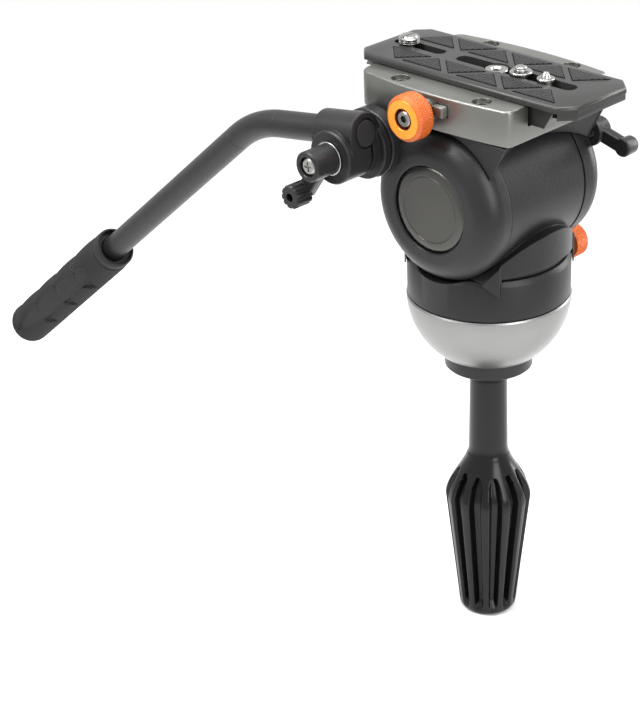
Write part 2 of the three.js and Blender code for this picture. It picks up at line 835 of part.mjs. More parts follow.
function tiltSaddle() {
  const outline = [
    [saddleTopHalfLength, saddleTop],
    [saddleFootHalfLength, saddleFoot],
    [-saddleFootHalfLength, saddleFoot],
    [-saddleTopHalfLength, saddleTop],
  ];
  const body = slabX(outline, -saddleHalfWidth, saddleHalfWidth);
  const drumRoom = rodX(cheekRoomRadius, -saddleHalfWidth - overrun, saddleHalfWidth + overrun);
  const hollow = saddleHollow();
  const holes = receiverHoles(receiverScrewRadius + gap, screwEnd - gap, saddleTop + overrun);
  return cut(body, drumRoom, hollow, mirroredY(hollow), ...holes);
}

const receiverBottom = saddleTop + gap;

// The receiver seen from above: bowed sides and rounded corners
function receiverOutline() {
  const shape = new THREE.Shape();
  const side = receiverHalfWidth;
  const bowX = side + receiverBow * 2;
  const middle = (receiverFront + receiverRear) * half;
  const frontSide = receiverFront - receiverFrontRounding;
  const rearSide = receiverRear + receiverRearRounding;
  shape.moveTo(-side + receiverRearRounding, receiverRear);
  shape.lineTo(side - receiverRearRounding, receiverRear);
  shape.quadraticCurveTo(side, receiverRear, side, rearSide);
  shape.quadraticCurveTo(bowX, middle, side, frontSide);
  shape.quadraticCurveTo(side, receiverFront, side - receiverFrontRounding, receiverFront);
  shape.lineTo(-side + receiverFrontRounding, receiverFront);
  shape.quadraticCurveTo(-side, receiverFront, -side, frontSide);
  shape.quadraticCurveTo(-bowX, middle, -side, rearSide);
  shape.quadraticCurveTo(-side, receiverRear, -side + receiverRearRounding, receiverRear);
  return shape;
}

const footTop = plateTop - plateFlangeThickness;
const footSlope = (footHalfWidth - footTopHalfWidth) / (footTop - footBottom);
const jawOuterX = railInnerX - jawTravel - gap;
const footHalfWidthAt = (height) => footTopHalfWidth + footSlope * (footTop - height);

function receiver() {
  const body = slabZ(receiverOutline(), receiverBottom, receiverTop);
  const fixedFoot = footHalfWidth + gap;
  const channel = slabY([
    [railInnerX, receiverTop + overrun],
    [railInnerX, receiverFloor],
    [-fixedFoot, receiverFloor],
    [-fixedFoot, footBottom],
    [-footHalfWidthAt(receiverTop + overrun) - gap, receiverTop + overrun],
  ], receiverRear - overrun, receiverFront + overrun);
  const land = block([-receiverLandHalfWidth, -receiverLandHalfLength, receiverFloor],
    [receiverLandHalfWidth, receiverLandHalfLength, receiverLand]);
  const boss = rodX(plateLockBossRadius, railInnerX, plateLockBossEnd, knobSides);
  boss.translate(0, plateLockY, plateLockZ);
  const studHole = rodX(plateLockScrewRadius + gap, jawOuterX, plateLockBossEnd + overrun, screwSides);
  studHole.translate(0, plateLockY, plateLockZ);
  const windowHalf = catchHalfWidth + gap;
  const windowHeight = catchHalfHeight + gap;
  const window = block([railInnerX - overrun, catchY - windowHalf, catchZ - windowHeight],
    [plateLockBossEnd, catchY + windowHalf, catchZ + windowHeight]);
  const shanks = receiverHoles(receiverScrewRadius + gap, receiverBottom - overrun, receiverTop);
  const counterbores = receiverHoles(receiverScrewHeadRadius + gap, screwSeat - gap, receiverTop + overrun);
  const opened = join(cut(body, channel), land, boss);
  return cut(opened, studHole, window, ...shanks, ...counterbores);
}

function receiverScrew() {
  const headShape = rod(receiverScrewHeadRadius, screwSeat, screwHeadTop, screwSides);
  const socketRadius = receiverScrewHeadRadius * socketShare;
  const socket = rod(socketRadius, screwHeadTop - socketRadius, screwHeadTop + overrun, hexSides);
  return join(cut(headShape, socket), rod(receiverScrewRadius, screwEnd, screwSeat, screwSides));
}

function badge() {
  return alongX(turned([
    [0, badgeFloorX + gap],
    [badgeRadius, badgeFloorX + gap],
    [badgeRadius, badgeFloorX + gap + badgeThickness * badgeRimShare],
    [badgeRadius * badgeFlatShare, badgeFloorX + gap + badgeThickness],
    [0, badgeFloorX + gap + badgeThickness],
  ]));
}

place(tilting, 'right_cheek', rightCheek(), blackCoat);
place(tilting, 'left_cheek', leftCheek(), blackCoat);
place(tilting, 'tilt_saddle', tiltSaddle(), blackCoat);
place(tilting, 'tilt_axle', rodX(axleRadius, -axleHalfLength, axleHalfLength, knobSides), brightSteel);
place(tilting, 'right_badge', badge(), glossBlack);
place(tilting, 'left_badge', mirroredX(badge()), glossBlack);
place(tilting, 'receiver', receiver(), warmGrey);
receiverScrewPlaces.forEach(([x, y], i) => {
  place(tilting, `receiver_screw_${i + 1}`, receiverScrew(), brightSteel, [x, y, 0]);
});
place(tilting, 'stop_pin', rod(stopPinRadius, 0, stopPinHeight, screwSides), brightSteel,
  [stopPinX, stopPinY, receiverFloor + gap]);

// The jaw that presses on the plate's foot, with its knob outside the receiver
function clampingJaw() {
  const low = receiverFloor + gap;
  const high = receiverTop - gap;
  const footRoom = footBottom - gap;
  const section = [
    [jawFootX, low],
    [jawOuterX, low],
    [jawOuterX, high],
    [footHalfWidthAt(high) + gap * 2, high],
    [footHalfWidthAt(footRoom) + gap * 2, footRoom],
    [jawFootX, footRoom],
  ];
  const side = [
    [jawRear, low],
    [jawFrontLow, low],
    [jawFront, high],
    [jawRear, high],
  ];
  return common(slabY(section, jawRear - overrun, jawFront + overrun), slabX(side, 0, railInnerX));
}

place(tilting, 'clamping_jaw', clampingJaw(), darkAnodised);

const plateLockRibCount = 28;

function plateLockKnob() {
  const blank = ribbedKnob(plateLockKnobRadius, plateLockKnobStart, plateLockKnobEnd, plateLockRibCount,
    ribGrooveShare);
  const recess = rodX(plateLockRecessRadius, plateLockKnobEnd - plateLockRecessDepth,
    plateLockKnobEnd + overrun, knobSides);
  const collar = rodX(plateLockCollarRadius, plateLockCollarStart, plateLockKnobStart + gap, knobSides);
  const boreStart = plateLockCollarStart - overrun;
  const bore = rodX(plateLockScrewRadius + gap, boreStart, plateLockKnobEnd, screwSides);
  return cut(join(alongX(blank), collar), recess, bore);
}

const plateLockHeadStart = plateLockKnobEnd - plateLockRecessDepth + gap;

function plateLockScrew() {
  const tip = jawOuterX + jawTravel + gap;
  const shank = rodX(plateLockScrewRadius, tip, plateLockHeadStart, screwSides);
  const headEnd = plateLockHeadStart + plateLockHeadThickness;
  const headShape = rodX(plateLockHeadRadius, plateLockHeadStart, headEnd, knobSides);
  const socketRadius = plateLockHeadRadius * socketShare;
  const socket = rodX(socketRadius, headEnd - plateLockHeadThickness * half, headEnd + overrun, hexSides);
  return join(shank, cut(headShape, socket));
}

const plateLock = new THREE.Group();
plateLock.position.set(0, plateLockY, plateLockZ);
tilting.add(plateLock);
place(plateLock, 'plate_lock_knob', plateLockKnob(), orangeMetal);
place(plateLock, 'plate_lock_screw', plateLockScrew(), brightSteel);

const catchStartX = railInnerX + catchTravel + gap;
const catchLength = catchEndX - catchStartX;
const catchLow = [0, -catchHalfWidth, -catchHalfHeight];
const catchHigh = [catchLength, catchHalfWidth, catchHalfHeight];
place(tilting, 'safety_catch', block(catchLow, catchHigh), warmGrey, [catchStartX, catchY, catchZ]);

// The lever that locks the tilt, on the left cheek
const tiltLockHubStart = tiltLockBossEnd + gap;
const tiltLockHubEnd = tiltLockHubStart + tiltLockHubLength;

function tiltLockLever() {
  const hub = rodX(tiltLockHubRadius, -tiltLockHubEnd, -tiltLockHubStart, knobSides);
  const armEnd = tiltLockHubEnd - tiltLockArmHalfWidth * half;
  const armLow = [-armEnd, 0, -tiltLockArmHalfWidth];
  const armHigh = [-tiltLockHubStart, tiltLockArmLength, tiltLockArmHalfWidth];
  const arm = block(armLow, armHigh);
  const knob = rodX(tiltLockEndRadius, -tiltLockHubStart - tiltLockEndLength, -tiltLockHubStart, knobSides);
  knob.translate(0, tiltLockArmLength, 0);
  const bore = rodX(tiltLockScrewRadius + gap, -tiltLockHubEnd - overrun, 0, screwSides);
  return cut(join(hub, arm, knob), bore);
}

const tiltLockScrewEnd = tiltLockBossEnd - tiltLockScrewDepth;

const tiltLock = new THREE.Group();
tiltLock.position.set(0, tiltLockY, tiltLockZ);
tilting.add(tiltLock);
place(tiltLock, 'tilt_lock_lever', tiltLockLever(), blackCoat).rotation.x = radians(tiltLockArmDegrees);
place(tiltLock, 'tilt_lock_screw', rodX(tiltLockScrewRadius, -tiltLockHubEnd, -tiltLockScrewEnd, screwSides),
  brightSteel);

// The camera plate, its screws and its rubber pads, all of which slide together
const plateFlangeBottom = plateTop - plateFlangeThickness;
const headRoomTop = footBottom + headRoomDepth;
const headRoomWiden = headRoomHalfWidth - longSlotHalfWidth;

function plateOutline() {
  const side = plateHalfWidth;
  const corner = plateCorner;
  return [
    [-side + corner, plateRear],
    [side - corner, plateRear],
    [side, plateRear + corner],
    [side, plateFront - corner],
    [side - corner, plateFront],
    [-side + corner, plateFront],
    [-side, plateFront - corner],
    [-side, plateRear + corner],
  ];
}

// The plate's flange, with a bevel around its top edge only
function plateFlange() {
  const shape = new THREE.Shape(plateOutline().map(([x, y]) => new THREE.Vector2(x, y)));
  const thickness = plateFlangeThickness - plateBevel + overrun;
  const bevelled = new THREE.ExtrudeGeometry(shape, {
    depth: thickness,
    bevelEnabled: true,
    bevelThickness: plateBevel,
    bevelSize: plateBevel,
    bevelOffset: -plateBevel,
    bevelSegments: 1,
  }).translate(0, 0, plateFlangeBottom - overrun);
  const under = block([-plateHalfWidth * 2, plateRear * 2, plateFlangeBottom - overrun * 3],
    [plateHalfWidth * 2, plateFront * 2, plateFlangeBottom]);
  return cut(bevelled, under);
}

// The thicker front end of the plate, which stops it at the jaw
function plateLip() {
  const shoulderY = plateFront - plateCorner;
  const frontX = plateHalfWidth - plateCorner;
  return slabZ([
    [-plateHalfWidth, shoulderY],
    [plateHalfWidth, shoulderY],
    [frontX, plateFront],
    [-frontX, plateFront],
  ], plateFlangeBottom - plateLipDepth, plateFlangeBottom + overrun);
}

// The outline of a pad: a triangle whose base and tip lie on the two sides of the strip
function padOutline(index, side, margin) {
  const baseInside = index % 2 === 0;
  const baseX = baseInside ? padInnerX : padOuterX;
  const tipX = baseInside ? padOuterX : padInnerX;
  const tipY = padStartY + padPitch * index;
  const corners = [[baseX, tipY - padBase * half], [baseX, tipY + padBase * half], [tipX, tipY]];
  const height = padOuterX - padInnerX;
  const slope = Math.hypot(height, padBase * half);
  const inscribed = padBase * height / (padBase + slope * 2);
  const centreX = baseX + Math.sign(tipX - baseX) * inscribed;
  const share = 1 + margin / inscribed;
  return corners.map(([x, y]) => [side * (centreX + (x - centreX) * share), tipY + (y - tipY) * share]);
}

const padIndexes = Array.from({ length: padCount }, (_, index) => index);
const padPlaces = [1, -1].flatMap((side) => padIndexes.map((index) => ({ side, index })));

function cameraPlate() {
  const foot = slabY([
    [-footHalfWidth, footBottom],
    [footHalfWidth, footBottom],
    [footTopHalfWidth, footTop],
    [footTopHalfWidth, footTop + plateBevel],
    [-footTopHalfWidth, footTop + plateBevel],
    [-footTopHalfWidth, footTop],
  ], footRear, footFront);
  const low = footBottom - overrun;
  const high = plateTop + overrun;
  const longSlot = slabZ(slotOutline(longSlotHalfWidth, longSlotRear, longSlotFront), low, high);
  const shortSlot = slabZ(slotOutline(shortSlotHalfWidth, shortSlotRear, shortSlotFront), low, high);
  const longRoomFront = longSlotFront + headRoomWiden;
  const shortRoomRear = shortSlotRear - headRoomWiden * half;
  const longRoom = slotOutline(headRoomHalfWidth, longSlotRear - headRoomWiden, longRoomFront);
  const shortRoom = slotOutline(headRoomHalfWidth, shortRoomRear, shortSlotFront);
  const bushHole = rod(bushRadius + gap, low, high, knobSides).translate(0, bushY, 0);
  const padBottom = plateTop - padSink;
  const recesses = padPlaces.map(({ side, index }) => slabZ(padOutline(index, side, gap), padBottom, high));
  return cut(join(plateFlange(), plateLip(), foot), longSlot, shortSlot, slabZ(longRoom, low, headRoomTop),
    slabZ(shortRoom, low, headRoomTop), bushHole, ...recesses);
}

// A screw or pin whose head lies in the room under a slot
function slotPiece(shankRadius, sections) {
  const headLow = footBottom + gap;
  const headHigh = headLow + slotHeadThickness;
  return turned([
    [0, headLow],
    [slotHeadRadius, headLow],
    [slotHeadRadius, headHigh],
    [shankRadius, headHigh],
    ...sections,
    [0, sections[sections.length - 1][1]],
  ], knobSides);
}

const washerLow = plateTop + gap;
const washerHigh = washerLow + washerThickness;

// The chamfered end of a thread
function threadEnd(radius, top) {
  return [[radius, top - radius * tipShare], [radius * (1 - tipShare), top]];
}

function cameraScrew() {
  return slotPiece(cameraScrewRadius, [
    [cameraScrewRadius, washerLow],
    [washerRadius, washerLow],
    [washerRadius, washerHigh],
    [cameraScrewRadius, washerHigh],
    ...threadEnd(cameraScrewRadius, plateTop + cameraScrewStand),
  ]);
}

function videoPin() {
  return slotPiece(videoPinFlangeRadius - washerThickness, [
    [videoPinFlangeRadius - washerThickness, washerLow],
    [videoPinFlangeRadius, washerLow],
    [videoPinFlangeRadius, washerHigh],
    [videoPinRadius, washerHigh],
    ...threadEnd(videoPinRadius, plateTop + videoPinStand),
  ]);
}

function accessoryScrew() {
  return slotPiece(accessoryShankRadius, [
    [accessoryShankRadius, washerLow],
    [accessoryScrewRadius, washerLow],
    ...threadEnd(accessoryScrewRadius, plateTop + accessoryScrewStand),
  ]);
}

const plate = new THREE.Group();
tilting.add(plate);
place(plate, 'camera_plate', cameraPlate(), darkAnodised);
const padFloor = plateTop - padSink + gap;
padPlaces.forEach(({ side, index }, i) => {
  const pad = slabZ(padOutline(index, side, 0), 0, padThickness);
  place(plate, `grip_pad_${i + 1}`, pad, blackRubber, [0, 0, padFloor]);
});
const plateBush = ring(bushBoreRadius, bushRadius, footBottom + gap, plateTop - bushSink, knobSides);
place(plate, 'plate_bush', plateBush, brightSteel, [0, bushY, 0]);
place(plate, 'camera_screw', cameraScrew(), brightSteel, [0, cameraScrewY, 0]);
place(plate, 'video_pin', videoPin(), brightSteel, [0, videoPinY, 0]);
place(plate, 'accessory_screw', accessoryScrew(), brightSteel, [0, accessoryScrewY, 0]);

// The clamp that holds the pan bar on the right rosette, measured from the rosette axis
const clampDiscStart = rosetteFaceX + gap;
const barHoleRadius = barRadius + gap;
const clampBodyStart = clampDiscStart + clampDiscThickness;
const bossHalf = clampBossRadius * half;

function barClamp() {
  const disc = rodX(clampDiscRadius, clampDiscStart, clampBodyStart + gap, knobSides * 2);
  const lower = rodX(clampRadius, clampBodyStart, clampFaceX, knobSides * 2);
  const bossSideX = barX + clampBossRadius;
  const middle = block([clampBodyStart, -clampHalfLength, 0], [bossSideX, clampHalfLength, barAbove]);
  const shoulder = block([clampBodyStart, -clampHalfLength, 0],
    [barX, clampHalfLength, barAbove + bossHalf]);
  const boss = rodY(clampBossRadius, -clampHalfLength, clampHalfLength, knobSides);
  boss.translate(barX, 0, barAbove);
  const bore = rodY(barHoleRadius, -clampHalfLength - overrun, clampHalfLength + overrun, knobSides);
  bore.translate(barX, 0, barAbove);
  const reach = clampDiscRadius + overrun;
  const slot = block([clampSlotX - clampSlotWidth * half, -reach, -reach],
    [clampSlotX + clampSlotWidth * half, reach, barAbove]);
  const screwHole = rodX(leverShankRoom, clampDiscStart - overrun, clampFaceX + overrun, screwSides);
  return cut(join(disc, lower, middle, shoulder, boss), bore, slot, screwHole);
}

const leverHubStart = clampFaceX + gap;

// The lever: a hub on the clamp's screw, a bent arm and a fluted end
function clampLever() {
  const hub = rodX(leverHubRadius, leverHubStart, leverHubEnd, knobSides);
  const collar = rodX(leverRingRadius, leverHubStart, leverHubStart + leverRingThickness, knobSides);
  const armLength = Math.hypot(leverArmY, leverArmZ);
  const armAngle = Math.atan2(leverArmZ, leverArmY);
  const arm = block([leverArmStart, 0, -leverArmHalfWidth], [leverArmEnd, armLength, leverArmHalfWidth]);
  arm.rotateX(armAngle);
  const knob = alongX(ribbedKnob(leverKnobRadius, leverKnobStart, leverKnobEnd, leverKnobRibs,
    leverFluteShare));
  knob.translate(0, leverArmY, leverArmZ);
  const knobHole = rodX(leverKnobHoleRadius, leverKnobEnd - leverKnobHoleDepth, leverKnobEnd + overrun,
    screwSides);
  knobHole.translate(0, leverArmY, leverArmZ);
  const recess = rodX(leverRecessRadius, leverHubEnd - leverRecessDepth, leverHubEnd + overrun, knobSides);
  const bore = rodX(leverShankRoom, leverHubStart - overrun, leverHubEnd, screwSides);
  return cut(join(hub, collar, arm, knob), knobHole, recess, bore);
}

const leverHeadStart = leverHubEnd - leverRecessDepth + gap;
const leverScrewEnd = rosetteFaceX - rosetteThreadDepth + gap;

function clampLeverScrew() {
  const shank = rodX(leverScrewRadius, leverScrewEnd, leverHeadStart, screwSides);
  const headEnd = leverHeadStart + leverScrewHeadThickness;
  const headShape = rodX(leverScrewHeadRadius, leverHeadStart, headEnd, knobSides);
  const wing = leverScrewHeadRadius * crossLengthShare;
  const slit = leverScrewHeadRadius * crossWidthShare;
  const deep = headEnd - leverScrewHeadThickness * half;
  const across = block([deep, -wing, -slit], [headEnd + overrun, wing, slit]);
  const upright = block([deep, -slit, -wing], [headEnd + overrun, slit, wing]);
  return join(shank, cut(headShape, across, upright));
}

// The bar's centre line: straight through the clamp, one bend, then straight into the grip
function barPath() {
  const bend = radians(barBendDegrees);
  const towardsGrip = new THREE.Vector3(0, -Math.cos(bend), -Math.sin(bend));
  const front = new THREE.Vector3(barX, barFront, barAbove);
  const corner = new THREE.Vector3(barX, barFront - barFrontRun, barAbove);
  const bendStart = corner.clone().add(new THREE.Vector3(0, barBend, 0));
  const bendEnd = corner.clone().addScaledVector(towardsGrip, barBend);
  const rear = corner.clone().addScaledVector(towardsGrip, barRearRun + barInGrip);
  const path = new THREE.CurvePath();
  path.add(new THREE.LineCurve3(front, bendStart));
  path.add(new THREE.QuadraticBezierCurve3(bendStart, corner, bendEnd));
  path.add(new THREE.LineCurve3(bendEnd, rear));
  return { path, corner, towardsGrip, bend };
}

function panBar() {
  const section = new THREE.Shape();
  section.absarc(0, 0, barRadius, 0, 2 * Math.PI, false);
  const tube = new THREE.ExtrudeGeometry(section, {
    steps: barSteps,
    extrudePath: barPath().path,
    curveSegments: barSides,
    bevelEnabled: false,
  });
  const plugRoom = rodY(plugRadius + gap, barFront - plugDepth, barFront + overrun, knobSides);
  return cut(tube, plugRoom.translate(barX, 0, barAbove));
}

function panBarPlug() {
  const plug = rodY(plugRadius, barFront - plugDepth + gap, barFront + gap, knobSides);
  const cap = rodY(barRadius * plugCapShare, barFront + gap, barFront + gap * 3, knobSides);
  return join(plug, cap);
}

// The grip along its own axis, from its mouth at zero to its round end
function panBarGrip() {
  const mouthHole = barRadius + gap;
  const endRounding = gripRadius * gripEndShare;
  const end = arc(gripRadius - endRounding, gripLength - endRounding, endRounding, 0, quarterTurn);
  const body = turned([
    [mouthHole, barInGrip + gap],
    [mouthHole, gripMouthDepth],
    [gripMouthRadius - gap, gripMouthDepth],
    [gripMouthRadius, 0],
    [gripRadius * gripMouthShare, 0],
    [gripRadius, gripShoulder],
    ...end,
    [0, gripLength],
    [0, barInGrip + gap],
  ], knobSides);
  const scallops = Array.from({ length: scallopCount }, (_, i) => {
    const tool = rodX(scallopRadius, -gripRadius * 2, gripRadius * 2, knobSides);
    const along = scallopStart + scallopPitch * i;
    return tool.translate(0, gripRadius + scallopRadius - scallopDepth, along);
  });
  return cut(body, ...scallops);
}

const barArm = new THREE.Group();
barArm.position.set(0, rosetteY, rosetteZ);
barArm.rotation.x = radians(barSlopeDegrees);
tilting.add(barArm);
place(barArm, 'bar_clamp', barClamp(), blackCoat);
place(barArm, 'clamp_lever', clampLever(), blackCoat);
place(barArm, 'clamp_lever_screw', clampLeverScrew(), brightSteel);
place(barArm, 'pan_bar', panBar(), blackCoat);
place(barArm, 'pan_bar_plug', panBarPlug(), blackRubber, [barX, 0, barAbove]);

const { corner, towardsGrip, bend } = barPath();
const gripMouth = corner.clone().addScaledVector(towardsGrip, barRearRun);
const grip = place(barArm, 'pan_bar_grip', panBarGrip(), blackRubber, gripMouth.toArray());
grip.rotation.x = quarterTurn + bend;

export default head;
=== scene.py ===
# %% [markdown]
# # A fluid video head in Blender
# A fluid head holds a camera on a tripod. Its half ball sits in the tripod's bowl, a long handle under it
# pulls it tight, and a drum above it lets the camera tilt. Most of its pieces are turned on a lathe or cut
# from plate, so this lesson turns outlines, pushes outlines out and bores holes, as a machinist would.

# %% Load the frame
import json
import math

import bmesh
import bpy
from mathutils import Matrix, Vector


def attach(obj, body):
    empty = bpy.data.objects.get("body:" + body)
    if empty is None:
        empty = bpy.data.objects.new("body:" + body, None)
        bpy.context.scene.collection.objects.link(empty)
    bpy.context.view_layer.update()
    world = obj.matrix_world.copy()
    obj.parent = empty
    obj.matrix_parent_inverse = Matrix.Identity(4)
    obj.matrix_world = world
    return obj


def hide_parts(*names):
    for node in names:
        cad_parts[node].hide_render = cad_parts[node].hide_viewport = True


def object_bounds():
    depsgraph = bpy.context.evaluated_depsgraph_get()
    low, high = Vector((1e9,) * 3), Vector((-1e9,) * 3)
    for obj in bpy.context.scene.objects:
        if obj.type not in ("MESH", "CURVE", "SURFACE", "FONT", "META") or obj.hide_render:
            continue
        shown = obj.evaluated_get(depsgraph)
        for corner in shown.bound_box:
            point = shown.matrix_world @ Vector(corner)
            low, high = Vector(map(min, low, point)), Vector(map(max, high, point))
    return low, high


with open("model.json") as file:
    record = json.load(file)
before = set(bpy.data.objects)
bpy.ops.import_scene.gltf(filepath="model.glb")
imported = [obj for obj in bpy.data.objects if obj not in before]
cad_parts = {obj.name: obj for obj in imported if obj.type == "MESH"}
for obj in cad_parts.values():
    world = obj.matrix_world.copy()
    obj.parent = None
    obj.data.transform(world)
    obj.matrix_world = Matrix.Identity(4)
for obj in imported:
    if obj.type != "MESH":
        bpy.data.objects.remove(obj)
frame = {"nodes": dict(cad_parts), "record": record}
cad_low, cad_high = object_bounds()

MM = 0.001
print("box of the solids in mm:", [round(value / MM, 1) for value in (*cad_low, *cad_high)])

# %% [markdown]
# ## Camera
# The view was worked out from edges whose sizes are known, such as the 75 mm ball. The camera's three
# directions and its place are given as they came out, so the picture lines up with the real one.

# %% Camera
RIGHT = Vector((-0.7091, 0.7042, -0.0356)).normalized()
BACK = Vector((0.6141, 0.6416, 0.4595)).normalized()
UP = BACK.cross(RIGHT).normalized()
EYE_MM = Vector((621.4, 536.65, 389.71))
LENS_MM = 99.88
FILM_MM = 36
NEAREST_M = 0.01
camera = bpy.data.objects.new("camera", bpy.data.cameras.new("camera"))
bpy.context.collection.objects.link(camera)
turn = Matrix((RIGHT, UP, BACK)).transposed().to_4x4()
camera.matrix_world = Matrix.Translation(EYE_MM * MM) @ turn
camera.data.lens = LENS_MM
camera.data.sensor_width = FILM_MM
camera.data.clip_start = NEAREST_M
bpy.context.scene.camera = camera
bpy.context.scene.view_settings.view_transform = "Standard"
print("camera to ball in mm:", round(EYE_MM.length))

# %% [markdown]
# ## Light and floor
# Product pictures are lit by large soft boxes, so that dark metal shows long, gentle highlights. The world
# is white to the camera and to reflections, but gives only a modest light. So is the floor away from the
# head, while the floor near it is plain and keeps the shadow.

# %% Lamps
AIM_MM = Vector((0, -40, 20))


def area_lamp(name, place_mm, size_mm, watts):
    lamp = bpy.data.lights.new(name, "AREA")
    lamp.shape = "RECTANGLE"
    lamp.size, lamp.size_y = size_mm[0] * MM, size_mm[1] * MM
    lamp.energy = watts
    holder = bpy.data.objects.new(name, lamp)
    holder.location = Vector(place_mm) * MM
    aim = AIM_MM * MM - holder.location
    holder.rotation_euler = aim.to_track_quat("-Z", "Y").to_euler()
    bpy.context.collection.objects.link(holder)


area_lamp("key_box", (700, -450, 1000), (600, 600), 21)
area_lamp("front_box", (200, 1000, 500), (500, 900), 9)
area_lamp("top_box", (-100, 0, 1100), (700, 700), 14)
area_lamp("edge_box", (-900, 300, 350), (300, 1000), 8)
print("lamps:", len(bpy.data.lights))

# %% World
WHITE = (1, 1, 1, 1)
WORLD_LIGHT = 0.4


def white_to_camera(tree, shader):
    """Shows plain white to the camera, reflections and glass, and the shader to all else."""
    path = tree.nodes.new("ShaderNodeLightPath")
    seen = path.outputs["Is Camera Ray"]
    for kind in ("Is Glossy Ray", "Is Transmission Ray"):
        either = tree.nodes.new("ShaderNodeMath")
        either.operation = "MAXIMUM"
        tree.links.new(seen, either.inputs[0])
        tree.links.new(path.outputs[kind], either.inputs[1])
        seen = either.outputs[0]
    plain = tree.nodes.new("ShaderNodeBackground" if shader.type == "BACKGROUND" else "ShaderNodeEmission")
    plain.inputs["Color"].default_value = WHITE
    plain.inputs["Strength"].default_value = 1.0
    mixer = tree.nodes.new("ShaderNodeMixShader")
    tree.links.new(seen, mixer.inputs[0])
    tree.links.new(shader.outputs[0], mixer.inputs[1])
    tree.links.new(plain.outputs[0], mixer.inputs[2])
    return mixer


world = bpy.data.worlds.new("studio")
bpy.context.scene.world = world
world.use_nodes = True
world_tree = world.node_tree
sky = world_tree.nodes["Background"]
sky.inputs["Color"].default_value = WHITE
sky.inputs["Strength"].default_value = WORLD_LIGHT
seen_sky = white_to_camera(world_tree, sky)
world_tree.links.new(seen_sky.outputs[0], world_tree.nodes["World Output"].inputs["Surface"])
print("world nodes:", len(world_tree.nodes))

# %% Floor
FLOOR_HALF_M = 3.0
FLOOR_GAP_M = 0.0005
FLOOR_GREY = (0.86, 0.86, 0.86, 1)
FLOOR_ROUGHNESS = 0.9
SHADOW_WITHIN_M = 0.30
WHITE_BEYOND_M = 0.75
floor_shape = bmesh.new()
bmesh.ops.create_grid(floor_shape, x_segments=2, y_segments=2, size=FLOOR_HALF_M)
bmesh.ops.translate(floor_shape, verts=floor_shape.verts, vec=(0, 0, cad_low.z - FLOOR_GAP_M))
floor_mesh = bpy.data.meshes.new("floor")
floor_shape.to_mesh(floor_mesh)
floor_shape.free()
floor = bpy.data.objects.new("floor", floor_mesh)
bpy.context.collection.objects.link(floor)
pale = bpy.data.materials.new("pale_floor")
pale.use_nodes = True
floor_tree = pale.node_tree
plain_floor = floor_tree.nodes["Principled BSDF"]
plain_floor.inputs["Base Color"].default_value = FLOOR_GREY
plain_floor.inputs["Roughness"].default_value = FLOOR_ROUGHNESS
white_floor = white_to_camera(floor_tree, plain_floor)
floor_place = floor_tree.nodes.new("ShaderNodeTexCoord")
reach = floor_tree.nodes.new("ShaderNodeVectorMath")
reach.operation = "LENGTH"
away = floor_tree.nodes.new("ShaderNodeMapRange")
away.inputs["From Min"].default_value = SHADOW_WITHIN_M
away.inputs["From Max"].default_value = WHITE_BEYOND_M
by_reach = floor_tree.nodes.new("ShaderNodeMixShader")
floor_tree.links.new(floor_place.outputs["Object"], reach.inputs[0])
floor_tree.links.new(reach.outputs["Value"], away.inputs["Value"])
floor_tree.links.new(away.outputs["Result"], by_reach.inputs[0])
floor_tree.links.new(plain_floor.outputs[0], by_reach.inputs[1])
floor_tree.links.new(white_floor.outputs[0], by_reach.inputs[2])
floor_tree.links.new(by_reach.outputs[0], floor_tree.nodes["Material Output"].inputs["Surface"])
floor_mesh.materials.append(pale)
print("floor at mm:", round((cad_low.z - FLOOR_GAP_M) / MM, 1))

# %% [markdown]
# ## Finishes
# The real head has a fine-grained black powder coat, bead-blasted and anodised aluminium, turned silver,
# orange knobs and black rubber. Each finish is one Principled shader. A small noise gives the grain of the
# surface as bump, a larger one changes the gloss a little, as handling does. The Bevel node rounds hard
# edges a fraction of a millimetre, so they catch the light as broken edges do.

# %% A maker of finishes
WEAR_SCALE = 55.0
WEAR_DETAIL = 4.0
BUMP_STRENGTH = 0.6
finishes = {}


def link_noise(tree, scale, stretch=(1, 1, 1), detail=2.0):
    """A noise on Object coordinates; scale is in grains to the metre."""
    place = tree.nodes.new("ShaderNodeTexCoord")
    mapping = tree.nodes.new("ShaderNodeMapping")
    mapping.inputs["Scale"].default_value = stretch
    noise = tree.nodes.new("ShaderNodeTexNoise")
    noise.inputs["Scale"].default_value = scale
    noise.inputs["Detail"].default_value = detail
    tree.links.new(place.outputs["Object"], mapping.inputs["Vector"])
    tree.links.new(mapping.outputs["Vector"], noise.inputs["Vector"])
    return noise


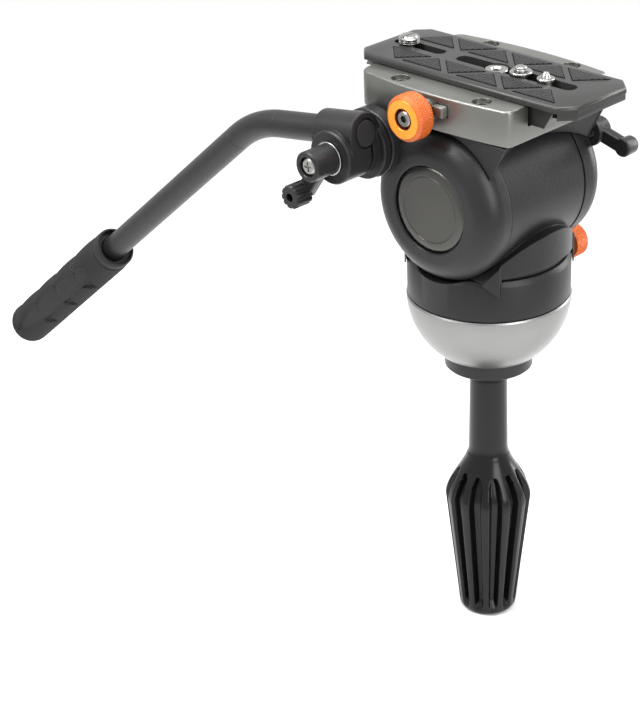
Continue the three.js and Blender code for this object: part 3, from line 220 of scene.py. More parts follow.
def make_finish(name, colour, roughness, metallic, grain, depth_mm, spread=0.08, tint=0.12,
                stretch=(1, 1, 1), edge_mm=0.25, shine=0.5):
    """A finish with a grain to the metre, the grain's depth, and some spread of gloss and colour."""
    material = bpy.data.materials.new(name)
    material.use_nodes = True
    tree = material.node_tree
    surface = tree.nodes["Principled BSDF"]
    surface.inputs["Metallic"].default_value = metallic
    surface.inputs["Specular IOR Level"].default_value = shine
    worn = link_noise(tree, WEAR_SCALE, detail=WEAR_DETAIL)
    gloss = tree.nodes.new("ShaderNodeMapRange")
    gloss.inputs["To Min"].default_value = roughness - spread
    gloss.inputs["To Max"].default_value = roughness + spread
    tree.links.new(worn.outputs["Fac"], gloss.inputs["Value"])
    tree.links.new(gloss.outputs["Result"], surface.inputs["Roughness"])
    blend = tree.nodes.new("ShaderNodeMix")
    blend.data_type = "RGBA"
    blend.inputs["A"].default_value = (*[value * (1 - tint) for value in colour], 1)
    blend.inputs["B"].default_value = (*[min(1, value * (1 + tint)) for value in colour], 1)
    tree.links.new(worn.outputs["Fac"], blend.inputs["Factor"])
    tree.links.new(blend.outputs["Result"], surface.inputs["Base Color"])
    fine = link_noise(tree, grain, stretch)
    bump = tree.nodes.new("ShaderNodeBump")
    bump.inputs["Strength"].default_value = BUMP_STRENGTH
    bump.inputs["Distance"].default_value = depth_mm * MM
    edge = tree.nodes.new("ShaderNodeBevel")
    edge.samples = 4
    edge.inputs["Radius"].default_value = edge_mm * MM
    tree.links.new(edge.outputs["Normal"], bump.inputs["Normal"])
    tree.links.new(fine.outputs["Fac"], bump.inputs["Height"])
    tree.links.new(bump.outputs["Normal"], surface.inputs["Normal"])
    finishes[name] = material
    return material


# %% Coats, rubber and plastic
make_finish("black_coat", (0.011, 0.011, 0.012), roughness=0.38, metallic=0.0, grain=1150, depth_mm=0.150,
            tint=0.3, edge_mm=0.6, shine=0.30)
make_finish("gloss_black", (0.004, 0.004, 0.0045), roughness=0.22, metallic=0.0, grain=1500, depth_mm=0.006,
            spread=0.05, shine=0.25)
make_finish("black_rubber", (0.012, 0.012, 0.013), roughness=0.66, metallic=0.0, grain=2200, depth_mm=0.030,
            tint=0.3, shine=0.25)
make_finish("ribbed_rubber", (0.008, 0.008, 0.009), roughness=0.5, metallic=0.0, grain=2600, depth_mm=0.010,
            shine=0.3)
make_finish("white_plastic", (0.62, 0.60, 0.54), roughness=0.5, metallic=0.0, grain=900, depth_mm=0.008)

# %% Metals
make_finish("dark_disc", (0.068, 0.067, 0.062), roughness=0.24, metallic=0.8, grain=1800, depth_mm=0.004,
            spread=0.06)
make_finish("brushed_silver", (0.24, 0.24, 0.235), roughness=0.36, metallic=1.0, grain=900, depth_mm=0.010,
            stretch=(0.02, 0.02, 6))
make_finish("warm_grey", (0.185, 0.186, 0.172), roughness=0.38, metallic=0.9, grain=3000, depth_mm=0.020,
            edge_mm=0.5)
make_finish("dark_anodised", (0.040, 0.040, 0.039), roughness=0.36, metallic=0.5, grain=3000, depth_mm=0.012,
            edge_mm=0.35, shine=0.3)
make_finish("bright_steel", (0.36, 0.36, 0.345), roughness=0.27, metallic=1.0, grain=2200, depth_mm=0.004,
            edge_mm=0.12)
make_finish("orange_metal", (0.50, 0.095, 0.008), roughness=0.36, metallic=0.2, grain=2400, depth_mm=0.006,
            tint=0.10)
# A lighter copy of the knob's orange: a painted highlight for the lit front face of the lock knob.
make_finish("orange_painted_highlight", (0.86, 0.33, 0.035), roughness=0.34, metallic=0.4, grain=2400, depth_mm=0.004,
            tint=0.06)
# A dark copy of the knob's orange: painted shade for the inner wall of the lock knob's recess.
make_finish("recess_painted_shade", (0.10, 0.012, 0.004), roughness=0.5, metallic=0.3, grain=1800, depth_mm=0.010)
make_finish("brass_metal", (0.45, 0.32, 0.13), roughness=0.35, metallic=1.0, grain=2000, depth_mm=0.006)
print("finishes:", len(finishes))

# %% [markdown]
# The pads carry narrow ribs across the plate, which grip the camera. They are too fine to model one by one,
# so they are a wave on Object coordinates, and its bump is laid over the grain of the rubber.

# %% Ribs in the rubber pads
WAVE_LENGTH = 0.314
RIB_PITCH_MM = 1.9
RIB_DEPTH_MM = 1.2


def add_ribs(material):
    """Puts straight ribs along X into a finish; at a scale of 1 the wave is WAVE_LENGTH long."""
    tree = material.node_tree
    grain_bump = next(node for node in tree.nodes if node.type == "BUMP")
    place = tree.nodes.new("ShaderNodeTexCoord")
    mapping = tree.nodes.new("ShaderNodeMapping")
    mapping.inputs["Rotation"].default_value = (0, 0, math.radians(90))
    wave = tree.nodes.new("ShaderNodeTexWave")
    wave.inputs["Scale"].default_value = WAVE_LENGTH / (RIB_PITCH_MM * MM)
    ribs = tree.nodes.new("ShaderNodeBump")
    ribs.inputs["Strength"].default_value = 1.0
    ribs.inputs["Distance"].default_value = RIB_DEPTH_MM * MM
    tree.links.new(place.outputs["Object"], mapping.inputs["Vector"])
    tree.links.new(mapping.outputs["Vector"], wave.inputs["Vector"])
    tree.links.new(wave.outputs["Fac"], ribs.inputs["Height"])
    tree.links.new(grain_bump.outputs["Normal"], ribs.inputs["Normal"])
    tree.links.new(ribs.outputs["Normal"], tree.nodes["Principled BSDF"].inputs["Normal"])


add_ribs(finishes["ribbed_rubber"])
print("wave scale of the ribs:", round(WAVE_LENGTH / (RIB_PITCH_MM * MM)))

# %% [markdown]
# ## Tools for turned, pushed and bored shapes
# A lathe turns an outline about an axis, a saw cuts an outline out of plate, and a drill takes material
# away. Each helper works in millimetres on a bmesh. `piece` then brings the finished shape to metres, marks
# its hard edges, gives it its finish and lets it ride on the body that carries it.

# %% Placing and turning a shape
ALONG_X = Matrix(((0, 0, 1, 0), (1, 0, 0, 0), (0, 1, 0, 0), (0, 0, 0, 1)))
ALONG_Y = Matrix.Rotation(math.radians(-90), 4, "X")


def at(x, y, z):
    return Matrix.Translation((x, y, z))


def moved(shape, matrix):
    bmesh.ops.transform(shape, matrix=matrix, verts=shape.verts)
    return shape


def mirrored(shape):
    """Brings a shape to the other side of the head, and turns its faces out again."""
    moved(shape, Matrix.Diagonal((-1, 1, 1, 1)))
    bmesh.ops.reverse_faces(shape, faces=shape.faces)
    return shape


# %% Shapes from an outline
def turned(section, steps=96):
    """Turns pairs of radius and height about Z; a section that starts on the axis ends on it."""
    shape = bmesh.new()
    points = [shape.verts.new((radius, 0, height)) for radius, height in section]
    lines = [shape.edges.new(pair) for pair in zip(points, points[1:])]
    if section[0][0] > 0:
        lines.append(shape.edges.new((points[-1], points[0])))
    bmesh.ops.spin(shape, geom=points + lines, cent=(0, 0, 0), axis=(0, 0, 1), dvec=(0, 0, 0),
                   angle=math.tau, steps=steps, use_merge=True, use_duplicate=False)
    bmesh.ops.remove_doubles(shape, verts=shape.verts, dist=0.001)
    bmesh.ops.recalc_face_normals(shape, faces=shape.faces)
    return shape


def pushed(outline, low, high):
    """Pushes a flat outline of pairs out along Z."""
    shape = bmesh.new()
    face = shape.faces.new([shape.verts.new((u, v, low)) for u, v in outline])
    grown = bmesh.ops.extrude_face_region(shape, geom=[face])
    lifted = [part for part in grown["geom"] if isinstance(part, bmesh.types.BMVert)]
    bmesh.ops.translate(shape, verts=lifted, vec=(0, 0, high - low))
    bmesh.ops.recalc_face_normals(shape, faces=shape.faces)
    return shape


def box(low, high):
    """A block between two opposite corners."""
    outline = [(low[0], low[1]), (high[0], low[1]), (high[0], high[1]), (low[0], high[1])]
    return pushed(outline, low[2], high[2])


def rod(radius, low, high, steps=64, chamfer=0.0):
    """A round bar along Z, with its ends chamfered."""
    if chamfer:
        return turned([(0, low), (radius - chamfer, low), (radius, low + chamfer),
                       (radius, high - chamfer), (radius - chamfer, high), (0, high)], steps)
    return turned([(0, low), (radius, low), (radius, high), (0, high)], steps)


def rod_x(radius, low, high, y=0.0, z=0.0, steps=64, chamfer=0.0):
    return moved(rod(radius, low, high, steps, chamfer), at(0, y, z) @ ALONG_X)


# %% Arcs, edges and grooved skins
def arc(centre, radius, start, end, steps=12):
    """Points on an arc, from one angle to another in degrees."""
    angles = [math.radians(start + (end - start) * i / steps) for i in range(steps + 1)]
    return [(centre[0] + radius * math.cos(a), centre[1] + radius * math.sin(a)) for a in angles]


def chamfered(shape, width, picked, segments=2):
    """Bevels the edges for which picked(edge) is true."""
    edges = [edge for edge in shape.edges if picked(edge)]
    bmesh.ops.bevel(shape, geom=edges, offset=width, offset_type="OFFSET", affect="EDGES",
                    segments=segments, profile=0.5, material=-1, clamp_overlap=True)
    return shape


def each_edge(edge):
    return True


def level_edge(edge):
    return abs(edge.verts[0].co.z - edge.verts[1].co.z) < 0.01


def edges_above(height):
    return lambda edge: min(vert.co.z for vert in edge.verts) > height


def eased(value, low, high):
    """Rises smoothly from 0 at low to 1 at high."""
    share = min(1.0, max(0.0, (value - low) / (high - low)))
    return share * share * (3 - 2 * share)


def run_between(start, end, steps, ease=lambda share: share):
    """Steps from one pair of radius and height to another, without the first."""
    shares = [i / steps for i in range(1, steps + 1)]
    return [(start[0] + (end[0] - start[0]) * ease(share), start[1] + (end[1] - start[1]) * share)
            for share in shares]


def drawn_in(shape, depth_at):
    """Draws each point towards Z by a depth that follows from its radius, angle and height."""
    for vert in shape.verts:
        radius = math.hypot(vert.co.x, vert.co.y)
        depth = depth_at(radius, math.atan2(vert.co.y, vert.co.x), vert.co.z)
        if depth:
            vert.co.xy *= (radius - depth) / radius
    return shape


# %% Joining and boring shapes
TRIES = 8
HAIR = 0.001


def merged(*shapes):
    """Lays several separate shapes into one, as one tool with many cutters."""
    whole = bmesh.new()
    for shape in shapes:
        mesh = bpy.data.meshes.new("loose")
        shape.to_mesh(mesh)
        shape.free()
        whole.from_mesh(mesh)
        bpy.data.meshes.remove(mesh)
    return whole


def worked(shape, tool, way):
    """Lets the Boolean modifier join, bore or trim one shape with another.

    Where faces of the two lie on each other it now and then loses a part. The volume shows this, and the step
    is then done again with the tool shifted by a hair."""
    first, second = shape.calc_volume(), tool.calc_volume()
    least, most = {"UNION": (max(first, second), first + second), "DIFFERENCE": (first - second, first),
                   "INTERSECT": (0, min(first, second))}[way]
    pair = []
    for part in (shape, tool):
        mesh = bpy.data.meshes.new("work")
        part.to_mesh(mesh)
        part.free()
        pair.append(bpy.data.objects.new("work", mesh))
        bpy.context.collection.objects.link(pair[-1])
    step = pair[0].modifiers.new("work", "BOOLEAN")
    step.object = pair[1]
    step.operation = way
    step.solver = "EXACT"
    for attempt in range(TRIES):
        pair[1].location = [HAIR * attempt] * 3
        bpy.context.view_layer.update()
        result = bmesh.new()
        result.from_object(pair[0], bpy.context.evaluated_depsgraph_get())
        volume = result.calc_volume()
        if least * 0.999 - 0.01 <= volume <= most * 1.001 + 0.01:
            break
        print("done again, because the volume was", round(volume), "mm3")
    for holder in pair:
        mesh = holder.data
        bpy.data.objects.remove(holder)
        bpy.data.meshes.remove(mesh)
    return result


def joined(shape, *others):
    for other in others:
        shape = worked(shape, other, "UNION")
    return shape


def bored(shape, *tools):
    for tool in tools:
        shape = worked(shape, tool, "DIFFERENCE")
    return shape


def trimmed(shape, limit):
    return worked(shape, limit, "INTERSECT")


# %% Finishing a piece
def piece(name, shape, slot, body, nodes=(), look=None, crease=32):
    """Makes the finished object, at the origin and in metres, and hides the solids it stands for."""
    bmesh.ops.scale(shape, vec=(MM, MM, MM), verts=shape.verts)
    bmesh.ops.remove_doubles(shape, verts=shape.verts, dist=1e-7)
    for edge in shape.edges:
        faces = edge.link_faces
        edge.smooth = len(faces) == 2 and edge.calc_face_angle(0) < math.radians(crease)
    for face in shape.faces:
        face.smooth = True
    mesh = bpy.data.meshes.new(name)
    shape.to_mesh(mesh)
    shape.free()
    mesh.materials.append(finishes[look or slot])
    item = bpy.data.objects.new(name, mesh)
    bpy.context.collection.objects.link(item)
    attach(item, body)
    if nodes:
        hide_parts(*nodes)
    print(name, len(mesh.polygons), "faces")
    return item


# %% Finishes of the solids that stay as they are
slot_of = {entry["node"]: entry["material_slot"] for entry in frame["record"]["subparts"]}
for node, item in frame["nodes"].items():
    item.data.materials.clear()
    item.data.materials.append(finishes[slot_of[node]])
print("solids with a finish:", len(frame["nodes"]))

# %% [markdown]
# ## Half ball
# The ball that sits in the tripod's bowl is turned from aluminium and brushed on the lathe. Its outline is
# an arc from the flat underside to the lip, where a small chamfer breaks the edge.

# %% Half ball
BALL = 37.5
BALL_FLAT = 23.2
BALL_LOW = -math.sqrt(BALL ** 2 - BALL_FLAT ** 2)
STUD_HOLE = 5.06
FLAT_BREAK = 0.3
LIP_BREAK = 0.5
flat_angle = math.degrees(math.asin(BALL_LOW / BALL))
bowl = arc((0, 0), BALL, flat_angle + 1, -1.2, 28)
ball = turned([(STUD_HOLE, BALL_LOW), (BALL_FLAT - FLAT_BREAK, BALL_LOW), *bowl, (BALL - LIP_BREAK, 0),
               (STUD_HOLE, 0)], 144)
piece("ball", ball, "brushed_silver", "base", ["half_ball"])

# %% [markdown]
# ## Clamp under the ball
# A cup presses on the bowl from below. The long handle is a nut on the ball's stud: a slim stem that flares
# into a fluted grip. The flutes are deep slots with round tops, so fingers hold it firmly. The grip is
# turned with many steps, and its points are then drawn in where a flute passes.

# %% Clamp cup
CUP = 20.3
CUP_TOP = BALL_LOW - 0.8
CUP_UNDERSIDE = CUP_TOP - 7.2
CUP_SEAT = 17
HUB = 10.2
HUB_LOW = CUP_TOP - 11.2
cup_outline = [(STUD_HOLE, HUB_LOW), (HUB - 0.6, HUB_LOW), (HUB, HUB_LOW + 0.6), (13.0, CUP_UNDERSIDE - 0.4),
               (13.9, CUP_UNDERSIDE), (CUP - 0.5, CUP_UNDERSIDE), (CUP, CUP_UNDERSIDE + 0.5),
               (CUP, CUP_TOP - 0.6), (CUP - 0.6, CUP_TOP), (CUP_SEAT, CUP_TOP), (CUP_SEAT, CUP_TOP - 1),
               (STUD_HOLE, CUP_TOP - 1)]
piece("cup", turned(cup_outline, 96), "black_coat", "cup", ["clamp_cup"])

# %% Outline of the clamp grip
STEM = 8.7
STEM_FOOT = 9.3
STEM_TOP = HUB_LOW - 0.3
FLARE_TOP = STEM_TOP - 42
GRIP_WIDEST = 20.3
WIDEST_AT = FLARE_TOP - 24
GRIP_NARROWEST = 13.7
GRIP_LOW = WIDEST_AT - 62.3
STUD_DEPTH = 12


def grip_outline():
    """The stem, a soft flare and the long taper, in steps short enough for the flutes."""
    points = [(0, STEM_TOP - STUD_DEPTH), (STUD_HOLE, STEM_TOP - STUD_DEPTH), (STUD_HOLE, STEM_TOP),
              (STEM - 0.4, STEM_TOP), (STEM, STEM_TOP - 0.4)]
    points += run_between(points[-1], (STEM_FOOT, FLARE_TOP), 12)
    points += run_between((STEM_FOOT, FLARE_TOP), (GRIP_WIDEST, WIDEST_AT), 24,
                      lambda share: eased(share, -0.12, 1.03))
    points += run_between((GRIP_WIDEST, WIDEST_AT), (GRIP_NARROWEST, GRIP_LOW + 2.6), 48)
    return points + [(13.5, GRIP_LOW + 1.4), (12.9, GRIP_LOW + 0.5), (11.8, GRIP_LOW), (0, GRIP_LOW)]


# %% Fluted clamp grip
FLUTES = 12
FLUTE_TURN = math.radians(22)
FLUTE_HALF = 3.6
FLUTE_DEPTH = 4.6
FLUTE_CROWN = 6
FLUTE_TOP = WIDEST_AT + 15


def flute_depth(radius, angle, height):
    """How deep the flutes lie below the plain grip; they are widest where the grip is."""
    place = (angle - FLUTE_TURN) * FLUTES / math.tau
    across = abs(place - round(place)) * math.tau / FLUTES * radius
    into_crown = max(0.0, (height - FLUTE_TOP + FLUTE_CROWN) / FLUTE_CROWN)
    half_width = FLUTE_HALF * math.sqrt(max(0.0, 1 - into_crown ** 2)) * radius / GRIP_WIDEST
    if across >= half_width:
        return 0.0
    lower_end = eased(height, GRIP_LOW + 2.0, GRIP_LOW + 8.0)
    return FLUTE_DEPTH * lower_end * (1 - eased(across / half_width, 0.5, 1.0))


grip = drawn_in(turned(grip_outline(), FLUTES * 24), flute_depth)
piece("fluted_grip", grip, "gloss_black", "handle", ["clamp_grip"], crease=50)

# %% [markdown]
# ## Turning housing
# The housing turns on the ball. It is a plain turned cup with a chamfered shoulder. The round cheeks above
# it dip into its rim, so their room is bored out of it, and a short boss on the left takes the pan lock.

# %% Housing
TILT = 51.0
HOUSING = 37.0
HOUSING_LOW = 0.3
HOUSING_TOP = 19.3
INSIDE = 31
FLOOR = 6
BEARING_ROOM = 16.3
BEARING_ROOF = 4.3
SPINDLE_ROOM = 8.3
PAN_LOCK_Y = 12
PAN_LOCK_Z = 12.5
CHEEK_ROOM = 34.8


def raised(shape):
    """Lifts what was built about the tilt axis to its height."""
    return moved(shape, at(0, 0, TILT))


def cheek_rooms():
    """Two bores about the tilt axis, one for each cheek."""
    return merged(rod_x(CHEEK_ROOM, 24.6, 46, 0, TILT, 128), rod_x(CHEEK_ROOM, -46, -24.6, 0, TILT, 128))


housing_outline = [(BEARING_ROOM, HOUSING_LOW), (HOUSING - 0.4, HOUSING_LOW), (HOUSING, HOUSING_LOW + 0.4),
                   (HOUSING, HOUSING_TOP - 2.3), (HOUSING - 0.15, HOUSING_TOP - 1.95),
                   (HOUSING - 1.5, HOUSING_TOP), (INSIDE, HOUSING_TOP), (INSIDE, FLOOR),
                   (SPINDLE_ROOM, FLOOR), (SPINDLE_ROOM, BEARING_ROOF), (BEARING_ROOM, BEARING_ROOF)]
boss = rod_x(4.5, -39.2, -33, PAN_LOCK_Y, PAN_LOCK_Z, 48, 0.4)
housing = joined(turned(housing_outline, 128), boss)
housing = bored(housing, rod_x(2.8, -46, -20, PAN_LOCK_Y, PAN_LOCK_Z, 32), cheek_rooms())
piece("housing", housing, "black_coat", "pan", ["pan_housing"])

# %% [markdown]
# ## Tilt drum
# The drum carries the axle, the drag cartridge and the spring. A column joins it to the housing: it follows
# the housing's round side, its top is arched, and a narrow shoulder is cut around its foot. Four pointed
# guards, one at each corner, cover the gap beside the cheeks.

# %% Drum and column
DRUM = 34.0
DRUM_HALF = 24.6
COLUMN_LOW = 19.6
HUMP = 34
HUMP_AXIS = 4
SHOULDER = 34.4
SHOULDER_BOW = 125
SHOULDER_TOP = 23.3


def hump():
    """A thick bar along Y, whose round top is that of the column and the guards."""
    return moved(rod(HUMP, -45, 45, 160), at(0, 0, HUMP_AXIS) @ ALONG_Y)


drum = moved(rod(DRUM, -DRUM_HALF, DRUM_HALF, 160, 0.35), at(0, 0, TILT) @ ALONG_X)
drum = bored(drum, rod(HOUSING + 0.3, 0, COLUMN_LOW, 128))
column = trimmed(rod(HOUSING, COLUMN_LOW, TILT, 128), hump())
shoulder_arch = moved(rod(SHOULDER_BOW, -45, 45, 256), at(0, 0, SHOULDER_TOP - SHOULDER_BOW) @ ALONG_Y)
band = trimmed(turned([(SHOULDER, 0), (42, 0), (42, 60), (SHOULDER, 60)], 128), shoulder_arch)
column = bored(column, band)
print("column in mm:", COLUMN_LOW, "to", HUMP_AXIS + HUMP)

# %% Guards, and the rooms inside
GUARD = 38.1
DRAG_ROOM = 22
SPRING_ROOM = 12
NUT_ROOM = 11.6
guard_outline = [(28.05, 13), (28.05, 30), (19.1, 30), (19.1, 22.2)]
guards = merged(*[moved(pushed([(y * side, z) for y, z in guard_outline], low, high), ALONG_X)
                  for side in (1, -1) for low, high in ((24.0, 40), (-40, -24.0))])
guards = trimmed(trimmed(guards, rod(GUARD, 5, 60, 128)), hump())
guards = bored(guards, rod(HOUSING + 0.3, 0, COLUMN_LOW, 128))
body = joined(drum, column, guards)
body = bored(body, cheek_rooms(), rod_x(DRAG_ROOM, -30, 17, 0, TILT, 64),
             rod_x(SPRING_ROOM, 0, 30, 0, TILT, 48), rod(SPINDLE_ROOM, 0, TILT, 48),
             rod(NUT_ROOM, 22, TILT, 48))
piece("drum", body, "black_coat", "pan", ["pan_body"])

# %% [markdown]
# ## Cheeks
# Two round caps close the drum and carry the plate. They are turned, with a soft edge and a recess for a
# badge disc. On each cheek a boss with a toothed face takes the pan bar, on the right or on the left.

# %% Cheek shell
CHEEK = 34.5
CHEEK_BACK = 24.9
CHEEK_FACE = 39.8
CHEEK_ROUND = 10.5
CHEEK_FLOOR = 31.9
AXLE_HOLE = 6.3
BADGE_ROOM = 19.8
BADGE_FLOOR = 37.2


def cheek_shell():
    soft_edge = arc((CHEEK - CHEEK_ROUND, CHEEK_FACE - CHEEK_ROUND), CHEEK_ROUND, 0, 90, 20)
    outline = [(AXLE_HOLE, CHEEK_BACK), (10, CHEEK_BACK), (10, CHEEK_FLOOR), (29, CHEEK_FLOOR),
               (29, CHEEK_BACK), (CHEEK - 0.2, CHEEK_BACK), *soft_edge, (BADGE_ROOM + 0.5, CHEEK_FACE),
               (BADGE_ROOM + 0.05, CHEEK_FACE - 0.5), (BADGE_ROOM, BADGE_FLOOR), (AXLE_HOLE, BADGE_FLOOR)]
    return moved(turned(outline, 144), ALONG_X)


# %% Boss with a toothed face
ROSETTE = 15.5
ROSETTE_Y = -33.0
ROSETTE_Z = 23.5
ROSETTE_FACE = 42.5
TEETH = 36
TOOTH_ROOM = 0.42
BOLT_HOLE = 2.3


def rosette_boss():
    """A short round boss, flattened under the receiver."""
    shape = rod_x(ROSETTE, 33.3, ROSETTE_FACE, ROSETTE_Y, ROSETTE_Z, 96, 0.5)
    return bored(shape, box((0, ROSETTE_Y - 31, 35), (36.5, ROSETTE_Y + 31, 66)))


def rosette_grooves():
    """Thin radial grooves about the boss's axis, all in one tool."""
    grooves = []
    for i in range(TEETH):
        groove = box((-TOOTH_ROOM, 8.5, -TOOTH_ROOM), (TOOTH_ROOM, 14.4, TOOTH_ROOM))
        moved(groove, Matrix.Rotation(math.radians(45), 4, "Y"))
        moved(groove, Matrix.Rotation(math.tau * i / TEETH, 4, "Z"))
        grooves.append(moved(groove, at(ROSETTE_FACE, ROSETTE_Y, ROSETTE_Z) @ ALONG_X))
    return merged(*grooves)


def cheek():
    bolt_hole = rod_x(BOLT_HOLE, 36, 46, ROSETTE_Y, ROSETTE_Z, 32)
    return bored(joined(cheek_shell(), rosette_boss()), bolt_hole, rosette_grooves())


piece("cheek_right", raised(cheek()), "black_coat", "tilt", ["right_cheek"])

# %% Left cheek, with the boss of the tilt lock
TILT_LOCK_Y = 28.8
TILT_LOCK_Z = 21.2
LOCK_SEAT = 35.5
left = joined(cheek(), rod_x(6.2, 33.3, LOCK_SEAT, TILT_LOCK_Y, TILT_LOCK_Z, 48, 0.3))
left = bored(left, rod_x(2.5, 33.3, 42, TILT_LOCK_Y, TILT_LOCK_Z, 32),
             rod_x(6.0, LOCK_SEAT, 44, TILT_LOCK_Y, TILT_LOCK_Z, 48))
piece("cheek_left", raised(mirrored(left)), "black_coat", "tilt", ["left_cheek"])

# %% [markdown]
# ## Badges
# A plain disc of dark anodised aluminium sits in each cheek. A fine groove near its edge and a dark gap
# around it are all that marks it.

# %% Badge discs
BADGE = 19.2
BADGE_BACK = 37.5
BADGE_FACE = 39.3
GROOVE = 15.0
GROOVE_FLOOR = BADGE_FACE - 0.2


def badge():
    outline = [(0, BADGE_BACK), (BADGE - 0.2, BADGE_BACK), (BADGE, BADGE_BACK + 0.2),
               (BADGE, BADGE_FACE - 0.8),
               (BADGE - 0.4, BADGE_FACE - 0.4), (BADGE - 1.6, BADGE_FACE - 0.05), (GROOVE + 0.3, BADGE_FACE),
               (GROOVE + 0.15, GROOVE_FLOOR), (GROOVE - 0.15, GROOVE_FLOOR), (GROOVE - 0.3, BADGE_FACE),
               (0, BADGE_FACE)]
    return moved(turned(outline, 128), at(0, 0, TILT) @ ALONG_X)


piece("badge_right", badge(), "dark_disc", "tilt", ["right_badge"])
piece("badge_left", mirrored(badge()), "dark_disc", "tilt", ["left_badge"])

# %% [markdown]
# ## Saddle
# The saddle bridges the cheeks over the drum and carries the receiver. It is wide at the top and hollowed
# at the front and back by a leaning round cut, which leaves a curved edge on the drum.

# %% Saddle
SADDLE_HALF = 33
SADDLE_TOP = 35
HOLLOW = 62
LEAN = math.atan2(9, 17)
SCREWS = [(29.2, 21), (-29.2, 21), (29.2, -25), (-29.2, -25)]
THREAD_HOLE = 2.5


def front_hollow():
    """A leaning round tool that hollows the front."""
    tool = moved(rod(HOLLOW, -80, 80, 192), Matrix.Rotation(-LEAN, 4, "X"))
    return moved(tool, at(0, 22 + HOLLOW / math.cos(LEAN), 25.9))


def screw_bars(radius, low, high, steps):
    """Four upright bars, one at each receiver screw."""
    return merged(*[moved(rod(radius, low, high, steps), at(x, y, 0)) for x, y in SCREWS])


saddle_side = [(37, SADDLE_TOP), (28, 18), (-28, 18), (-37, SADDLE_TOP)]
saddle = moved(pushed(saddle_side, -SADDLE_HALF, SADDLE_HALF), ALONG_X)
saddle = bored(saddle, rod_x(CHEEK_ROOM, -40, 40, 0, 0, 160))
rear_hollow = moved(front_hollow(), Matrix.Rotation(math.pi, 4, "Z"))
saddle = bored(saddle, front_hollow(), rear_hollow, screw_bars(THREAD_HOLE, 29, 38, 24))
piece("saddle", raised(saddle), "black_coat", "tilt", ["tilt_saddle"])

# %% [markdown]
# ## Receiver
# The receiver clamps the camera plate. Seen from above its sides bow out and its corners are round. It is
# sawn from an outline, its outer edges are broken, and the channel for the plate, the screw holes and the
# window of the safety catch are cut into it.

# %% Outline of the receiver
def curve(start, control, end, steps=14):
    """Points on a curve that leaves towards the control point, without its start."""
    made = []
    for i in range(1, steps + 1):
        t = i / steps
        made.append(tuple((1 - t) ** 2 * a + 2 * t * (1 - t) * b + t * t * c
                          for a, b, c in zip(start, control, end)))
    return made


def receiver_outline():
    """Goes along the rear edge, and round by the right side and the front."""
    points = [(-26, -47), (26, -47)]
    points += curve((26, -47), (33, -47), (33, -40))
    points += curve((33, -40), (39, -4.25), (33, 34.5), 28)
    points += curve((33, 34.5), (33, 38.5), (29, 38.5))
    points += [(-29, 38.5)]
    points += curve((-29, 38.5), (-33, 38.5), (-33, 34.5))
    points += curve((-33, 34.5), (-39, -4.25), (-33, -40), 28)
    points += curve((-33, -40), (-33, -47), (-26, -47))[:-1]
    return points


def sawn_y(outline, low, high):
    """Pushes an outline of x and z pairs out along Y."""
    return moved(pushed(outline, -high, -low), Matrix.Rotation(math.radians(90), 4, "X"))


# %% Receiver
RECEIVER_LOW = 35.3
RECEIVER_TOP = 51.4
CHANNEL = [(20.3, 55), (20.3, 42), (-17.3, 42), (-17.3, 47.4), (-11.1, 55)]
BED_TOP = 47.1
LOCK_Y = -4
LOCK_Z = 43.5
receiver = chamfered(pushed(receiver_outline(), RECEIVER_LOW, RECEIVER_TOP), 1.0, level_edge, 3)
receiver = bored(receiver, sawn_y(CHANNEL, -52, 45))
bed = box((-10, -30, 41), (10, 30, BED_TOP))
lock_boss = rod_x(5.0, 20.3, 38.8, LOCK_Y, LOCK_Z, 64, 0.3)
receiver = joined(receiver, bed, lock_boss)
lock_hole = rod_x(2.8, 15, 45, LOCK_Y, LOCK_Z, 48)
catch_window = box((17.3, 1.3, 42.8), (45, 7.9, 48.2))
counterbores = screw_bars(4.2, 44.3, 55, 48)
receiver = bored(receiver, lock_hole, catch_window, counterbores, screw_bars(THREAD_HOLE, 34, 50, 32))
piece("receiver_body", raised(receiver), "warm_grey", "tilt", ["receiver"])

# %% Receiver screws and the stop pin
bolt_head = [(0, 44.6), (3.9, 44.6), (3.9, 49.1), (3.4, 49.6), (0, 49.6)]
for number, (x, y) in enumerate(SCREWS, 1):
    screw = bored(joined(turned(bolt_head, 64), rod(2.2, 29.5, 45, 32)), rod(2.6, 46.4, 51, 6))
    piece(f"receiver_bolt_{number}", moved(screw, at(x, y, TILT)), "bright_steel", "tilt",
          [f"receiver_screw_{number}"])
stop = rod(1.25, 42.3, 46.8, 32, 0.2)
piece("channel_stop", moved(stop, at(4, 36.6, TILT)), "bright_steel", "tilt", ["stop_pin"])

# %% [markdown]
# ## Jaw, lock knob and catch
# The jaw is pressed on the plate's foot by the orange knob, whose screw runs through the receiver's side.
# Two crossed sets of slanting grooves leave rows of diamonds on the knob's rim. A hexagonal socket takes
# a key.

# %% Clamping jaw and safety catch
jaw_end = [(12.5, 42.3), (18.8, 42.3), (18.8, 51.1), (14.6, 51.1), (17.84, 47.1), (12.5, 47.1)]
jaw_side = [(-50, 42.3), (45.8, 42.3), (51, 51.1), (-50, 51.1)]
jaw = trimmed(sawn_y(jaw_end, -60, 60), moved(pushed(jaw_side, 5, 25), ALONG_X))
piece("jaw_bar", raised(jaw), "dark_anodised", "jaw", ["clamping_jaw"])
catch = chamfered(box((22.6, 1.6, 43.1), (39.1, 7.6, 47.9)), 0.5, each_edge)
piece("catch_slide", raised(catch), "warm_grey", "catch", ["safety_catch"])


# %% Knurled rims
def knurled(shape, inner, depth, steps):
    """Draws in every second row of the points that lie outside a radius."""
    def depth_at(radius, angle, height):
        return depth if radius > inner and round(angle * steps / math.tau) % 2 else 0.0
    return drawn_in(shape, depth_at)


